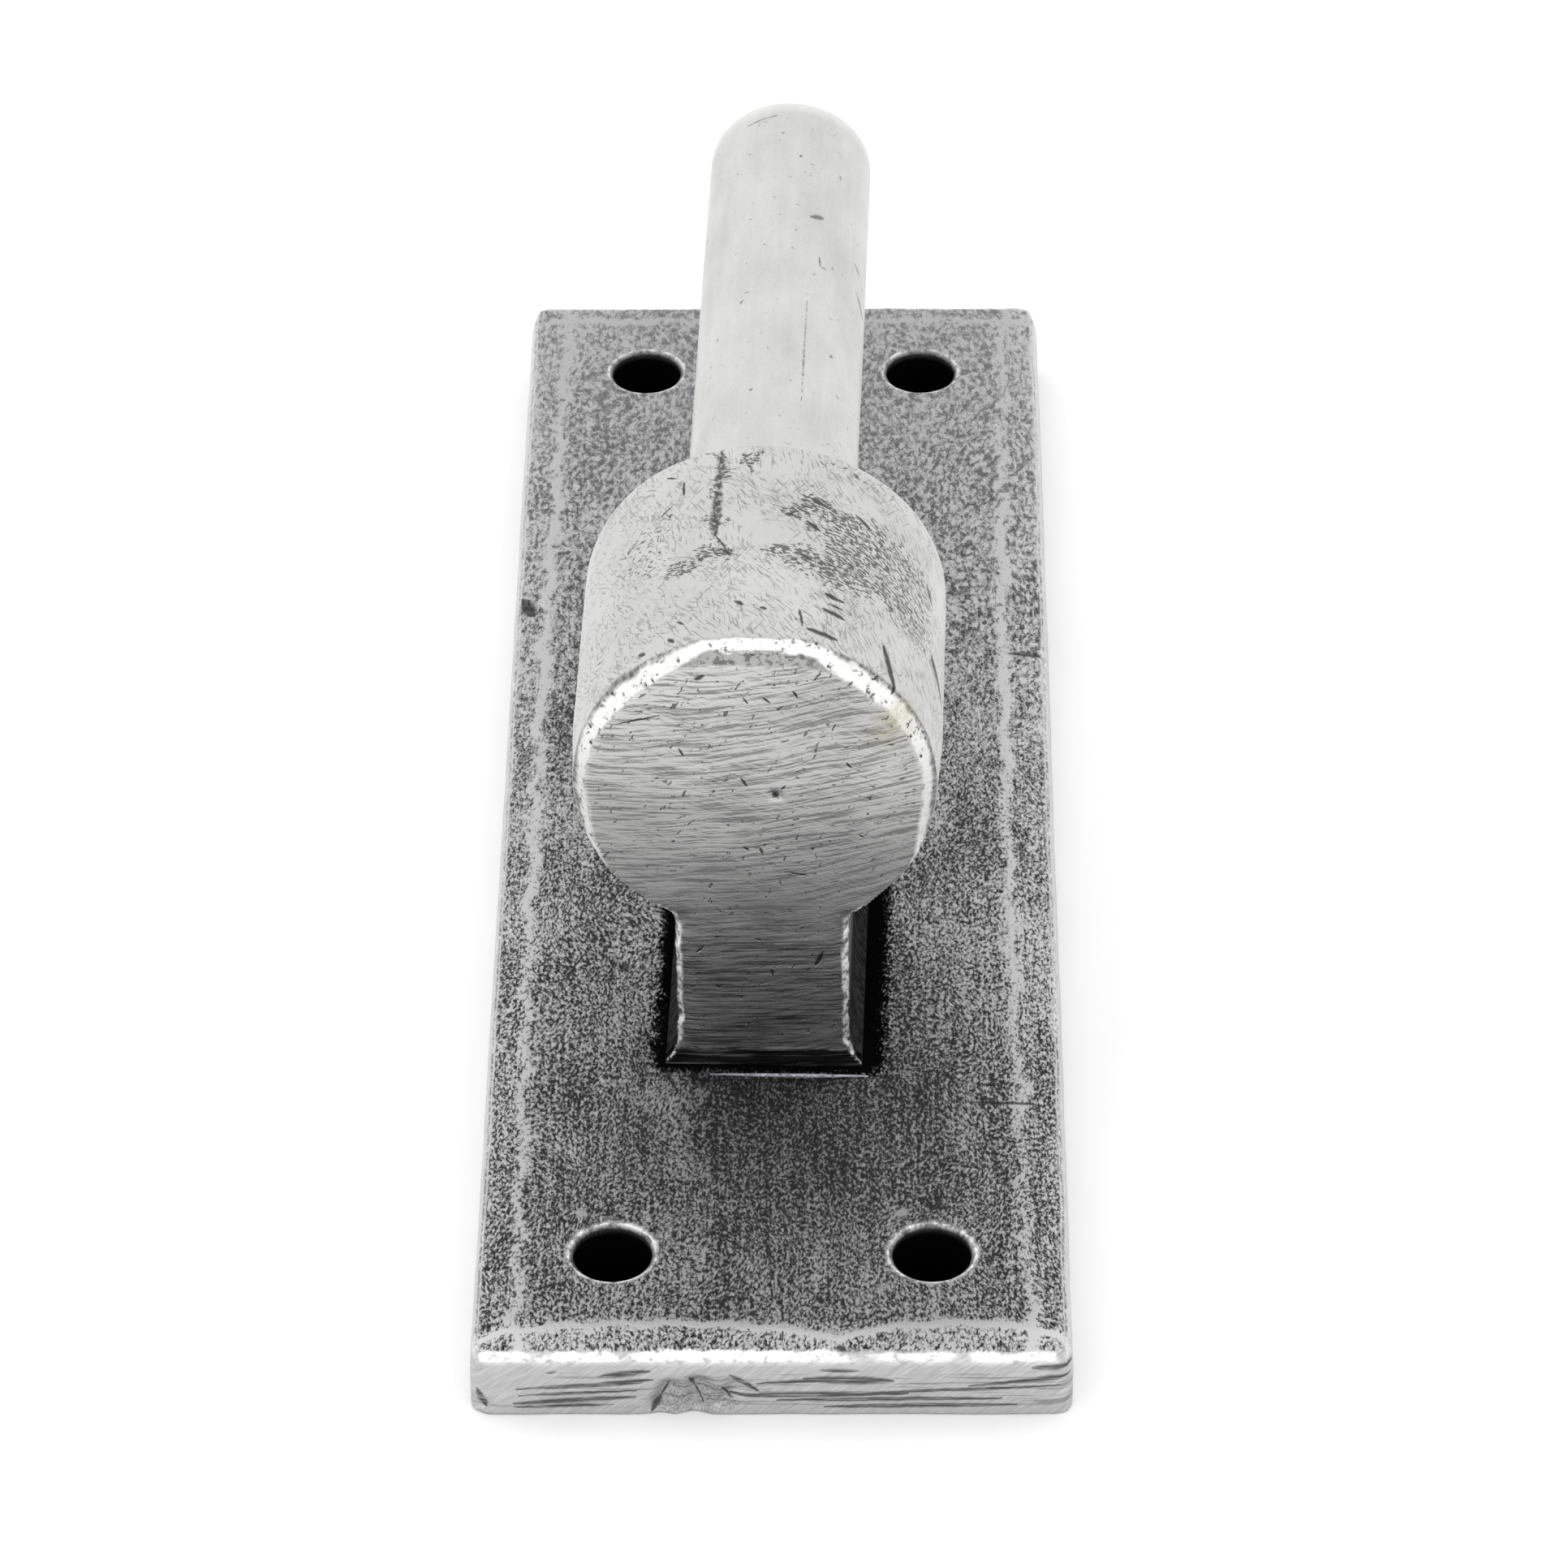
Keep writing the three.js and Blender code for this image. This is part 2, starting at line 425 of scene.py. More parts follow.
class Finish:
    """One steel finish: a material whose nodes read a piece's own place in millimetres."""

    def __init__(self, name, origin=(0, 0, 0), turn=0.0):
        self.material = bpy.data.materials.new(name)
        self.material.use_nodes = True
        self.nodes = self.material.node_tree.nodes
        self.links = self.material.node_tree.links
        self.shader = self.nodes["Principled BSDF"]
        self.shader.inputs["Metallic"].default_value = 1.0
        where = self.nodes.new("ShaderNodeTexCoord").outputs["Object"]
        self.place = self.moved(where, origin, turn, (MM, MM, MM))

    def add(self, kind, inputs, **settings):
        """A node with its settings, and its inputs linked or set."""
        made = self.nodes.new(kind)
        for setting, value in settings.items():
            setattr(made, setting, value)
        for socket, value in inputs.items():
            value = value.socket if isinstance(value, Value) else value
            if isinstance(value, bpy.types.NodeSocket):
                self.links.new(value, made.inputs[socket])
            else:
                made.inputs[socket].default_value = value
        return made

    def number(self, kind, inputs, output=0, **settings):
        """The number that a new node gives."""
        return Value(self, self.add(kind, inputs, **settings).outputs[output])

    def math(self, operation, *values):
        """A sum on numbers."""
        return self.number("ShaderNodeMath", dict(enumerate(values)), operation=operation)

    def vector(self, operation, *values):
        """A sum on places."""
        return self.add("ShaderNodeVectorMath", dict(enumerate(values)), operation=operation).outputs[0]

    def most(self, first, second):
        """The larger of two numbers."""
        return self.math("MAXIMUM", first, second)

    def blend(self, amount, first, second):
        """The first number where the amount is 0, and the second where it is 1."""
        return self.number("ShaderNodeMix", {0: amount, 2: first, 3: second}, data_type="FLOAT")

    def tint(self, amount, first, second):
        """The first colour where the amount is 0, and the second where it is 1."""
        return self.add("ShaderNodeMix", {0: amount, 6: first, 7: second}, data_type="RGBA").outputs[2]

    def moved(self, place, origin, turn, scale=(1, 1, 1)):
        """The place as seen from an origin, turned round Z and scaled."""
        seen = {"Vector": place, "Location": origin, "Rotation": (0, 0, turn), "Scale": scale}
        return self.add("ShaderNodeMapping", seen, vector_type="TEXTURE").outputs[0]

    def grain(self, per_mm, detail=2.0, roughness=0.5, distortion=0.0, turn=(0, 0, 0), shift=0.0,
              place=None):
        """Noise with that many lumps for each millimetre along X, Y and Z."""
        turned = self.add("ShaderNodeMapping", {"Vector": place or self.place, "Rotation": turn}).outputs[0]
        spread = self.add("ShaderNodeMapping", {"Vector": turned, "Scale": per_mm,
                                                "Location": (shift, shift, shift)}).outputs[0]
        return self.number("ShaderNodeTexNoise", {"Vector": spread, "Scale": 1.0, "Detail": detail,
                                                  "Roughness": roughness, "Distortion": distortion})

    def axes(self, place=None):
        """The place's X, Y and Z."""
        parts = self.add("ShaderNodeSeparateXYZ", {0: place or self.place}).outputs
        return [Value(self, part) for part in parts]

    def unrolled(self, height, radius):
        """The place on a barrel that lies along Y, unrolled flat: round it, along it, and nothing."""
        x, y, z = self.axes()
        around = self.math("ARCTAN2", x, z - height) * radius
        return self.add("ShaderNodeCombineXYZ", {0: around, 1: y}).outputs[0]

    def kept(self, name):
        """A number that the mesh keeps at each vertex."""
        return self.number("ShaderNodeAttribute", {}, "Fac", attribute_name=name)

    def shaken(self, amounts, per_mm, detail=2.0, place=None):
        """The place moved about by smooth noise, by up to half of each amount."""
        place = place or self.place
        lumps = self.add("ShaderNodeTexNoise", {"Vector": place, "Scale": per_mm, "Detail": detail})
        centred = self.vector("SUBTRACT", lumps.outputs["Color"], (0.5, 0.5, 0.5))
        return self.vector("MULTIPLY_ADD", centred, amounts, place)

    def ragged(self, amount, per_mm=2.5, axes=(1.0, 1.0, 1.0), place=None):
        """The shaken place, for strokes with uneven edges. An axis given 0 is flattened away."""
        return self.vector("MULTIPLY", self.shaken((amount, amount, amount), per_mm, place=place), axes)

    def strokes(self, marks, place):
        """One mask for a list of strokes, each a start, an end and a width in millimetres."""
        group = bpy.data.node_groups.get("Stroke") or stroke_group()
        mask = 0.0
        for start, end, width in marks:
            start, end = Vector(start).to_3d(), Vector(end).to_3d()
            stroke = {"Place": place, "Start": start, "Along": end - start, "Width": width}
            mask = self.most(mask, self.number("ShaderNodeGroup", stroke, node_tree=group))
        return self.math("MINIMUM", mask, 1.0)

    def patch(self, centre, half, soft, place=None):
        """1 inside a box of those half sizes, and fading to 0 over a soft distance outside it."""
        out = self.vector("ABSOLUTE", self.vector("SUBTRACT", place or self.place, centre))
        out = self.vector("MAXIMUM", self.vector("SUBTRACT", out, half), (0, 0, 0))
        away = self.number("ShaderNodeVectorMath", {0: out}, "Value", operation="LENGTH")
        return away.between(0.0, soft, 1.0, 0.0)

    def shade(self, base, roughness, relief, depth, metal=None):
        """Connects the finish to its shader. The depth of the relief is in millimetres."""
        bump = self.add("ShaderNodeBump", {"Strength": 1.0, "Distance": depth * MM, "Height": relief})
        self.links.new(base, self.shader.inputs["Base Color"])
        self.links.new(roughness.socket, self.shader.inputs["Roughness"])
        self.links.new(bump.outputs[0], self.shader.inputs["Normal"])
        if metal is not None:
            self.links.new(metal.socket, self.shader.inputs["Metallic"])
            self.shader.inputs["Specular IOR Level"].default_value = 0.0
        return self.material


def rgba(colour_value):
    """A colour with full alpha."""
    return (*colour_value, 1.0)


# The plate

def margin_of(x, y, settings):
    """How far the hammered face has fallen at each place, and how near each place is to a margin's ridge."""
    half_x, half_y = settings.width / MM / 2, settings.height / MM / 2
    base, drop = settings.margin / MM, settings.drop / MM
    bow = (y / half_y) ** 2
    left = base - 0.35 + 0.6 * bow + 0.55 * dished(y, 7.3, 1.0) - 0.3 + 0.12 * np.sin(y * 1.9)
    right = base + 0.6 - 0.7 * bow + 0.5 * dished(y, 8.1, 4.0) - 0.3 + 0.12 * np.sin(y * 2.3 + 1.0)
    split = 4.6
    blow = np.where(x < split, (x - split) / (half_x + split) * 2 + 1, (x - split) / (half_x - split) * 2 - 1)
    near = 0.65 + 1.95 * np.sqrt(np.clip(1.0 - blow ** 2, 0.0, 1.0)) + 0.12 * np.sin(x * 1.7)
    far = 2.1 + 0.25 * dished(x, 9.0, 2.0)
    fall, ridge = np.zeros_like(x), np.zeros_like(x)
    sides = (
        (half_x + x, left, drop * (0.8 + 0.35 * dished(y, 7.3, 1.0))),
        (half_x - x, right, drop * (0.8 + 0.35 * dished(y, 8.1, 4.0))),
        (half_y + y, near, drop * 0.8),
        (half_y - y, far, drop * 0.5),
    )
    for inward, wide, deep in sides:
        fall = np.maximum(fall, deep * np.clip(1.0 - inward / wide, 0.0, 1.0))
        ridge = np.maximum(ridge, np.exp(-((inward - wide) / 0.34) ** 2))
    return fall, ridge


def plate_blank(settings):
    """The plate as a box, cut into cells that are finer at its edges and finest on its face and sides."""
    low = Vector((-settings.width / 2, -settings.height / 2, 0))
    high = Vector((settings.width / 2, settings.height / 2, settings.thickness))
    plate = cube("forged_back_plate", low, high)
    edge = 0.6 * MM
    for axis, cells in ((0, 19), (1, 58), (2, 2)):
        first, last = low[axis] + edge, high[axis] - edge
        cut_across(plate, axis, [first + (last - first) * step / cells for step in range(cells + 1)])
    with editing(plate):
        pick(plate, "faces", lambda face: face.normal.z > -0.5)
        bpy.ops.mesh.subdivide(number_cuts=5)
    return plate


def round_plate(places, settings):
    """Rounds the box's edges and corners, bulges its long sides, and makes its outline a little uneven."""
    half = np.array([settings.width, settings.height]) / MM / 2
    thick = settings.thickness / MM
    wander = rough(places * (1, 1, 0.4), 6.0, 3)
    fine = rough(places, 1.3, 8)
    upward = np.clip((places[:, 2] - 0.5 * thick) / (0.5 * thick), 0, 1)
    moved = places.copy()
    sink = np.zeros(len(places))
    for axis, radius, bulge in ((0, 0.62, 0.36), (1, 0.34, 0.05)):
        inward = half[axis] - np.abs(places[:, axis])
        depth = bulge * upward ** 2 * np.clip(1 - inward / 2.5, 0, 1)
        depth += 0.05 * (1 + wander) * np.clip(1 - inward / 3.0, 0, 1)
        face_edge = (thick - places[:, 2], radius + 0.16 * wander + 0.1 * fine)
        back_edge = (places[:, 2], 0.22)
        for outer, worn in (face_edge, back_edge):
            side_left, face_left = np.clip(worn - inward, 0, None), np.clip(worn - outer, 0, None)
            pull = 1 - worn / np.maximum(np.hypot(side_left, face_left), worn)
            depth += side_left * pull
            sink = np.maximum(sink, face_left * pull)
        moved[:, axis] -= np.sign(moved[:, axis]) * depth
    moved[:, 2] -= np.sign(places[:, 2] - thick / 2) * sink
    corner = settings.corner / MM
    out = np.clip(np.abs(moved[:, :2]) - (half - corner), 0, None)
    pull = 1 - out.max(axis=1) / np.maximum(np.hypot(*out.T), 1e-9)
    pull = np.where(out.min(axis=1) > 0, pull, 0.0)
    moved[:, :2] -= np.sign(moved[:, :2]) * out * pull[:, None]
    return moved


# Dents pressed into the plate's face: start, end, width and depth in millimetres
FACE_DENTS = (
    ((-19.3, 21.2, 6), (-18.4, 20.6, 6), 1.1, 0.3), ((17, 15.3, 6), (20.4, 15.3, 6), 0.55, 0.38),
    ((19, 13.8, 6), (20.4, 13.6, 6), 0.7, 0.25), ((-10.7, -20.7, 6), (-10.4, -21.1, 6), 0.85, 0.16),
    ((13.4, -35.3, 6), (17.5, -35.3, 6), 0.3, 0.1), ((10.9, -45, 6), (11.3, -45.4, 6), 0.6, 0.1),
    ((-2.9, -55.4, 6), (-2.1, -54.8, 6), 0.5, 0.08), ((-5.3, -32.7, 6), (10.1, -32.6, 6), 0.32, 0.07),
    ((-9, -28, 6), (-6.6, -34.3, 6), 0.35, 0.06), ((-12.4, -59.9, 6), (-11.2, -59.7, 6), 0.5, 0.2),
    ((3.9, -59.9, 6), (5.4, -59.8, 6), 0.6, 0.22), ((14.8, -59.9, 6), (15.8, -59.8, 6), 0.5, 0.18),
    ((-17.2, -59.8, 6), (-16, -59.9, 6), 0.5, 0.15),
)
# Dents hammered into the plate's near end
END_DENTS = (
    ((-7.3, -60, 0.9), (-6.7, -60, 2.4), 1.3, 0.62), ((-5.1, -60, 0.8), (-4.8, -60, 2.6), 1.5, 0.7),
    ((-3.4, -60, 1.2), (-2.6, -60, 2.2), 1.1, 0.45), ((-2.9, -60, 3.1), (-1.6, -60, 2.3), 0.5, 0.25),
    ((18.9, -60, 5.5), (19.3, -60, 5.8), 0.5, 0.25), ((-19.6, -60, 0.4), (-18.9, -60, 0.9), 0.8, 0.28),
)
# Dark streaks drawn along the plate's near end: start, end and width
END_STREAKS = (
    ((-16.8, 0, 2.35), (-8.5, 0, 2.95), 0.26), ((-16.7, 0, 1.75), (-8.9, 0, 2.25), 0.2),
    ((-17, 0, 1.05), (-9, 0, 1.65), 0.34), ((-17, 0, 0.75), (-10.5, 0, 0.95), 0.22),
    ((-11.4, 0, 3.45), (-8, 0, 3.95), 0.4), ((-12, 0, 2.75), (-7.8, 0, 3.2), 0.26),
    ((-2.7, 0, 3.65), (-0.9, 0, 2.2), 0.34), ((-1, 0, 2.85), (4.4, 0, 3.15), 0.2),
    ((2.2, 0, 3.25), (8, 0, 3.05), 0.52), ((3.2, 0, 4.05), (5.8, 0, 4), 0.22),
    ((-2.7, 0, 1.75), (9, 0, 1.95), 0.36), ((6, 0, 1.95), (19, 0, 2.7), 0.22),
    ((0.4, 0, 1.35), (15.2, 0, 1.55), 0.26), ((3.5, 0, 0.75), (16.2, 0, 1), 0.28),
    ((13, 0, 2.65), (19.7, 0, 3.55), 0.22), ((17.2, 0, 4.25), (19.8, 0, 4.35), 0.36),
    ((16.6, 0, 3.1), (19.6, 0, 3.5), 0.36), ((-19.4, 0, 2.2), (-18.9, 0, 0.7), 0.42),
    ((-17.9, 0, 5.1), (-16.9, 0, 5.2), 0.16), ((-14.8, 0, 3.8), (-14.2, 0, 3.9), 0.16),
)
# Dark lines round the facets of the dent in the near end
DENT_LINES = (
    ((-7.9, 0, 0.3), (-7.3, 0, 1.3), 0.4), ((-7.3, 0, 1.3), (-6.7, 0, 2.7), 0.14),
    ((-5.4, 0, 3.3), (-5.1, 0, 2.3), 0.2), ((-5.1, 0, 2.3), (-4.5, 0, 0.8), 0.12),
    ((-3.3, 0, 2.5), (-2.7, 0, 1.4), 0.16),
)
# Paler blooms in the plate's grain, and small bright chips beside the near holes
BLOOMS = (
    ((-9, -35, 5.9), (-5, -34.4, 5.9), 2.6), ((-6.9, -40.8, 5.9), (-4.8, -42.6, 5.9), 2.4),
    ((-7.2, -35, 5.9), (-6, -42, 5.9), 1.5), ((-8, -42.6, 5.9), (-7.2, -43, 5.9), 0.7),
    ((-12, -33, 5.9), (-11.6, -33.6, 5.9), 0.7),
)
CHIPS = (
    ((-13.1, -46.5), (-12.6, -46.7), 0.7), ((8.4, -46.5), (8.9, -46.7), 0.7),
)
# A painted highlight along the front of the hook's foot
FOOT_HIGHLIGHT = (
    ((-4.4, -32.4, 5.95), (6.4, -32.62, 5.95), 0.2),
)
# Dark notches in the plate's face, placed from above, and the other dark marks on it, with a painted shadow
# line in front of the hook's foot
NOTCHES = (
    ((13.3, -35.3), (17.8, -35.4), 0.26), ((10.9, -44.3), (11.2, -46.2), 0.36),
    ((10.2, -45.9), (12, -46.1), 0.34),
)
DARK_SPOTS_AND_SHADOW_LINE = (
    # The line at y -32.85 is painted shadow below the painted highlight at the foot; the rest are dark dents
    # and gouges
    ((-5, -32.85, 5.95), (10.2, -32.85, 5.95), 0.15), ((-10.65, -20.5, 5.9), (-10.35, -21.2, 5.9), 0.6),
    ((3.6, -42.2, 5.9), (4, -42.8, 5.9), 0.32), ((-3.4, -55.7, 5.9), (-2.9, -54.5, 5.9), 0.34),
    ((-2.2, -55.5, 5.9), (-1.8, -54.4, 5.9), 0.3), ((16.7, 15.2, 5.6), (20.3, 15.2, 5.4), 0.52),
    ((1.6, -32.45, 5.9), (10.2, -32.65, 5.9), 0.16), ((-9, -27.6, 5.9), (-6.5, -34.4, 5.9), 0.26),
    ((-19.3, 22, 5.6), (-18.4, 20, 5.6), 0.85), ((4.2, -59.3, 5.6), (4.9, -59.6, 5.6), 0.3),
    ((-12.2, -58.9, 5.6), (-11.6, -59.6, 5.6), 0.26), ((14.9, -59, 5.6), (15.6, -59.5, 5.6), 0.24),
    ((9.9, -38, 5.9), (9.7, -43.5, 5.9), 0.12), ((-15.6, -24, 5.9), (-12.3, -17.5, 5.9), 0.12),
)


def hammer_plate(plate, settings):
    """Gives the blank its rounded edges, hammered margins, dents and forged grain."""
    thick = settings.thickness / MM
    blank = places_of(plate)
    places = round_plate(blank, settings)
    fall, _ = margin_of(blank[:, 0], blank[:, 1], settings)
    upper = ease(places[:, 2], 0.3 * thick, thick)
    lift = -fall * upper
    lift -= 0.05 * hollows(places, 7.0, 11) * upper
    lift -= 0.035 * hollows(places * (1, 0.6, 1), 0.8, 21) * upper
    for start, end, wide, deep in FACE_DENTS:
        away = near_line(places * (1, 1, 0) + (0, 0, thick), start, end)
        lift -= deep * ease(away, wide, 0.0) * ease(places[:, 2], thick - 1.6, thick - 0.2)
    push = 0.06 * hollows(places, 1.6, 31) + 0.05 * hollows(places, 4.0, 33)
    for start, end, wide, deep in END_DENTS:
        push += deep * ease(near_line(places * (1, 0, 1) + (0, -60, 0), start, end), wide, 0.0)
    half_y = settings.height / MM / 2
    places[:, 1] += push * ease(places[:, 1], 0.7 - half_y, 0.1 - half_y)
    flank = 0.04 * hollows(places * (1, 0.7, 1), 1.8, 41)
    half_x = settings.width / MM / 2
    places[:, 0] -= np.sign(places[:, 0]) * flank * ease(np.abs(places[:, 0]), half_x - 0.7, half_x - 0.1)
    places[:, 2] += lift
    limit = np.array([half_x, half_y, thick])
    move_to(plate, np.clip(places, (-half_x, -half_y, 0.0), limit))


def drill(settings, x, y):
    """A drill for one screw hole, widened where it breaks through the face."""
    top = settings.thickness
    tool = cylinder("drill", settings.hole, -1 * MM, top - 0.30 * MM, 64)
    with editing(tool):
        pick(tool, "faces", lambda face: face.normal.z > 0.5)
        widen = (settings.hole + 0.62 * MM) / settings.hole
        bpy.ops.mesh.extrude_region_move(TRANSFORM_OT_translate={"value": (0, 0, 0.60 * MM)})
        bpy.ops.transform.resize(value=(widen, widen, 1))
    cut_across(tool, 2, [top - 0.85 * MM])
    settle(tool, Matrix.Translation((x, y, 0)))
    return tool


def hole_places(settings):
    """The middles of the four screw holes, in metres."""
    rows = (-settings.height / 2 + settings.near_inset, settings.height / 2 - settings.far_inset)
    return [(side * settings.hole_spacing / 2, row) for row in rows for side in (-1, 1)]


def keep_plate_marks(plate, settings):
    """Stores where the plate is worn bright, ridged, ground, bored and dented, where painted shade goes
    inside the holes, and a painted map of light and shade across its face.
    """
    places, normals = places_of(plate), normals_of(plate)
    x, y, z = places.T
    half_x, half_y, thick = settings.width / MM / 2, settings.height / MM / 2, settings.thickness / MM
    _, ridge = margin_of(x, y, settings)
    beside, beyond = half_x - np.abs(x), half_y - np.abs(y)
    near = half_y + y
    proud = ease(proudness(plate, 2), 0.015, 0.12)
    uneven = 0.35 * rough(places, 2.6, 71) + 0.2 * rough(places, 0.9, 72)
    upper = ease(z, thick - 1.6, thick - 0.9)
    near_edge = ease(near + uneven * 0.7, 0.38, 0.13) * upper
    long_edge = ease(beside + uneven * 0.5, 0.85, 0.45) * upper
    far_edge = ease(half_y - y + uneven * 0.4, 0.7, 0.3) * upper
    lip = ease(np.abs(near - 0.25), 0.3, 0.1) * upper
    store(plate, "worn", np.maximum.reduce([
        near_edge * (0.55 + 0.25 * proud + 0.3 * lip), long_edge * (0.1 + 0.16 * proud), far_edge * 0.2]))
    from_hole = np.min([np.hypot(x - hx / MM, y - hy / MM) for hx, hy in hole_places(settings)], axis=0)
    bore = settings.hole / MM
    store(plate, "rim", ease(from_hole, bore + 0.55, bore + 0.3) * ease(from_hole, bore - 0.1, bore + 0.1)
          * ease(z, thick - 0.7, thick - 0.3))
    # Painted shade: the walls of each hole are marked here to be made near black
    store(plate, "inside", ease(from_hole, bore + 0.12, bore + 0.02) * ease(z, thick - 0.2, thick - 0.4))
    clear = 1 - ease(from_hole, bore + 1.2, bore)
    store(plate, "ridge", ridge * ease(z, thick - 1.2, thick - 0.6) * clear)
    sides = ease(np.abs(normals[:, 2]), 0.85, 0.5) * ease(np.minimum(beside, beyond), 1.2, 0.6)
    store(plate, "ground", sides)
    pressed = np.zeros(len(x))
    hammered = (((-6.7, -60, 1.3), (-5.2, -60, 1.9), 1.5), ((-5.0, -60, 1.2), (-3.5, -60, 1.5), 1.5))
    for start, end, wide in hammered:
        away = near_line(places * (1, 0, 1) + (0, -half_y, 0), start, end)
        pressed = np.maximum(pressed, ease(away, wide, wide * 0.7))
    store(plate, "pressed", pressed * ease(near, 1.0, 0.6))
    side = x / half_x
    # Painted light, shade and reflection: brighter towards the far end and both long edges, darker on the
    # right, darker in two patches beside the hook's line, darkest in front of the hook where the boss and pin
    # are mirrored, and brighter along the near end
    brushed = 0.445 - 0.015 * side + 0.06 * y / half_y + (0.17 + 0.05 * side) * side ** 4
    brushed -= 0.05 * np.exp(-((x - 10) / 5) ** 2) * ease(y, -8, -26)
    brushed -= 0.06 * np.exp(-((x + 15) / 4) ** 2) * np.exp(-((y - 8) / 20) ** 2)
    brushed -= 0.16 * np.exp(-(x / 11) ** 2) * ease(y, -18, -34) * ease(y, -54, -40)
    brushed += 0.17 * ease(near, 3.2, 1.6)
    store(plate, "brushed", brushed)


def forged_grain(steel, along, crumbs):
    """The face's forged grain, coarser towards the far end."""
    bent = steel.shaken((3.2, 1.6, 0.0), 0.11, detail=1.0)
    pebbles = steel.grain((5.4, 2.9, 5.0), distortion=0.35, place=bent)
    coarse = steel.grain((2.9, 1.5, 2.8), distortion=0.5, shift=13.0, place=bent)
    return steel.blend(along.between(-28.0, 40.0, 0.0, 0.9), pebbles, coarse) * 0.66 + crumbs * 0.34


def face_tone(steel, height, along, face_side):
    """How bright the face is, with its high points, ridges, paler blooms and chips, under a painted map of
    light and shade.
    """
    # The painted map of light and shade across the face
    ridge, brushed = steel.kept("ridge"), steel.kept("brushed")
    fade = steel.grain((0.14, 0.08, 0.12), detail=3.0, roughness=0.6, shift=2.0)
    brushing = steel.grain((3.4, 0.16, 3.4), roughness=0.6, shift=83.0)
    blooms = steel.strokes(BLOOMS, steel.ragged(0.9, 0.9))
    chips = steel.strokes(CHIPS, steel.ragged(0.3, 1.5, FROM_ABOVE))
    value = height + (fade - 0.5) * 0.16 + (brushed - 0.5) * 0.18 + blooms * 0.055
    value = value + ridge * fade.between(0.34, 0.54, 0.7, 1.0) * 0.145
    value = value + ridge.between(0.45, 0.95) * along.between(-55.5, -56.5) * 0.2
    value = value + (brushing - 0.5) * along.between(20.0, -30.0, 0.05, 0.2)
    bright = steel.blend(along.between(0.0, 60.0, 0.0, 0.5), value.between(0.4, 0.61), 0.56)
    # Painted light and shade: the face's brightness is scaled by the painted map
    bright = bright * steel.blend(brushed, 0.42, 1.75)
    return steel.blend(chips * face_side * 0.9, bright, 0.85)


def side_tone(steel, slope, crumbs, along, tall):
    """How bright the filed sides and ends are, with dark streaks along them."""
    scores = steel.grain((0.13, 0.05, 4.6), detail=3.0, roughness=0.62, distortion=0.2, shift=15.0)
    patches = steel.grain((0.1, 0.16, 0.3), detail=1.0, shift=24.0)
    fibre = steel.grain((0.3, 0.05, 8.0), roughness=0.6, shift=66.0)
    belt = tall.between(0.4, 1.2) * tall.between(4.4, 3.2)
    streak = scores.between(0.53, 0.58) * patches.between(0.44, 0.56) * belt * 0.5
    level = steel.ragged(0.15, 1.3, (1.0, 0.0, 1.0))
    drawn = steel.strokes(END_STREAKS, level) * fibre.between(0.34, 0.5, 0.35, 1.0)
    drawn = steel.most(drawn, steel.strokes(DENT_LINES, level)) * along.between(-58.4, -59.0)
    filed = (1.2 + (slope - 0.5) * 1.3) * (1 - steel.most(streak, drawn) * 0.84)
    return filed * steel.blend(steel.kept("pressed"), 1.0, crumbs.between(0.4, 0.56, 0.5, 0.92))


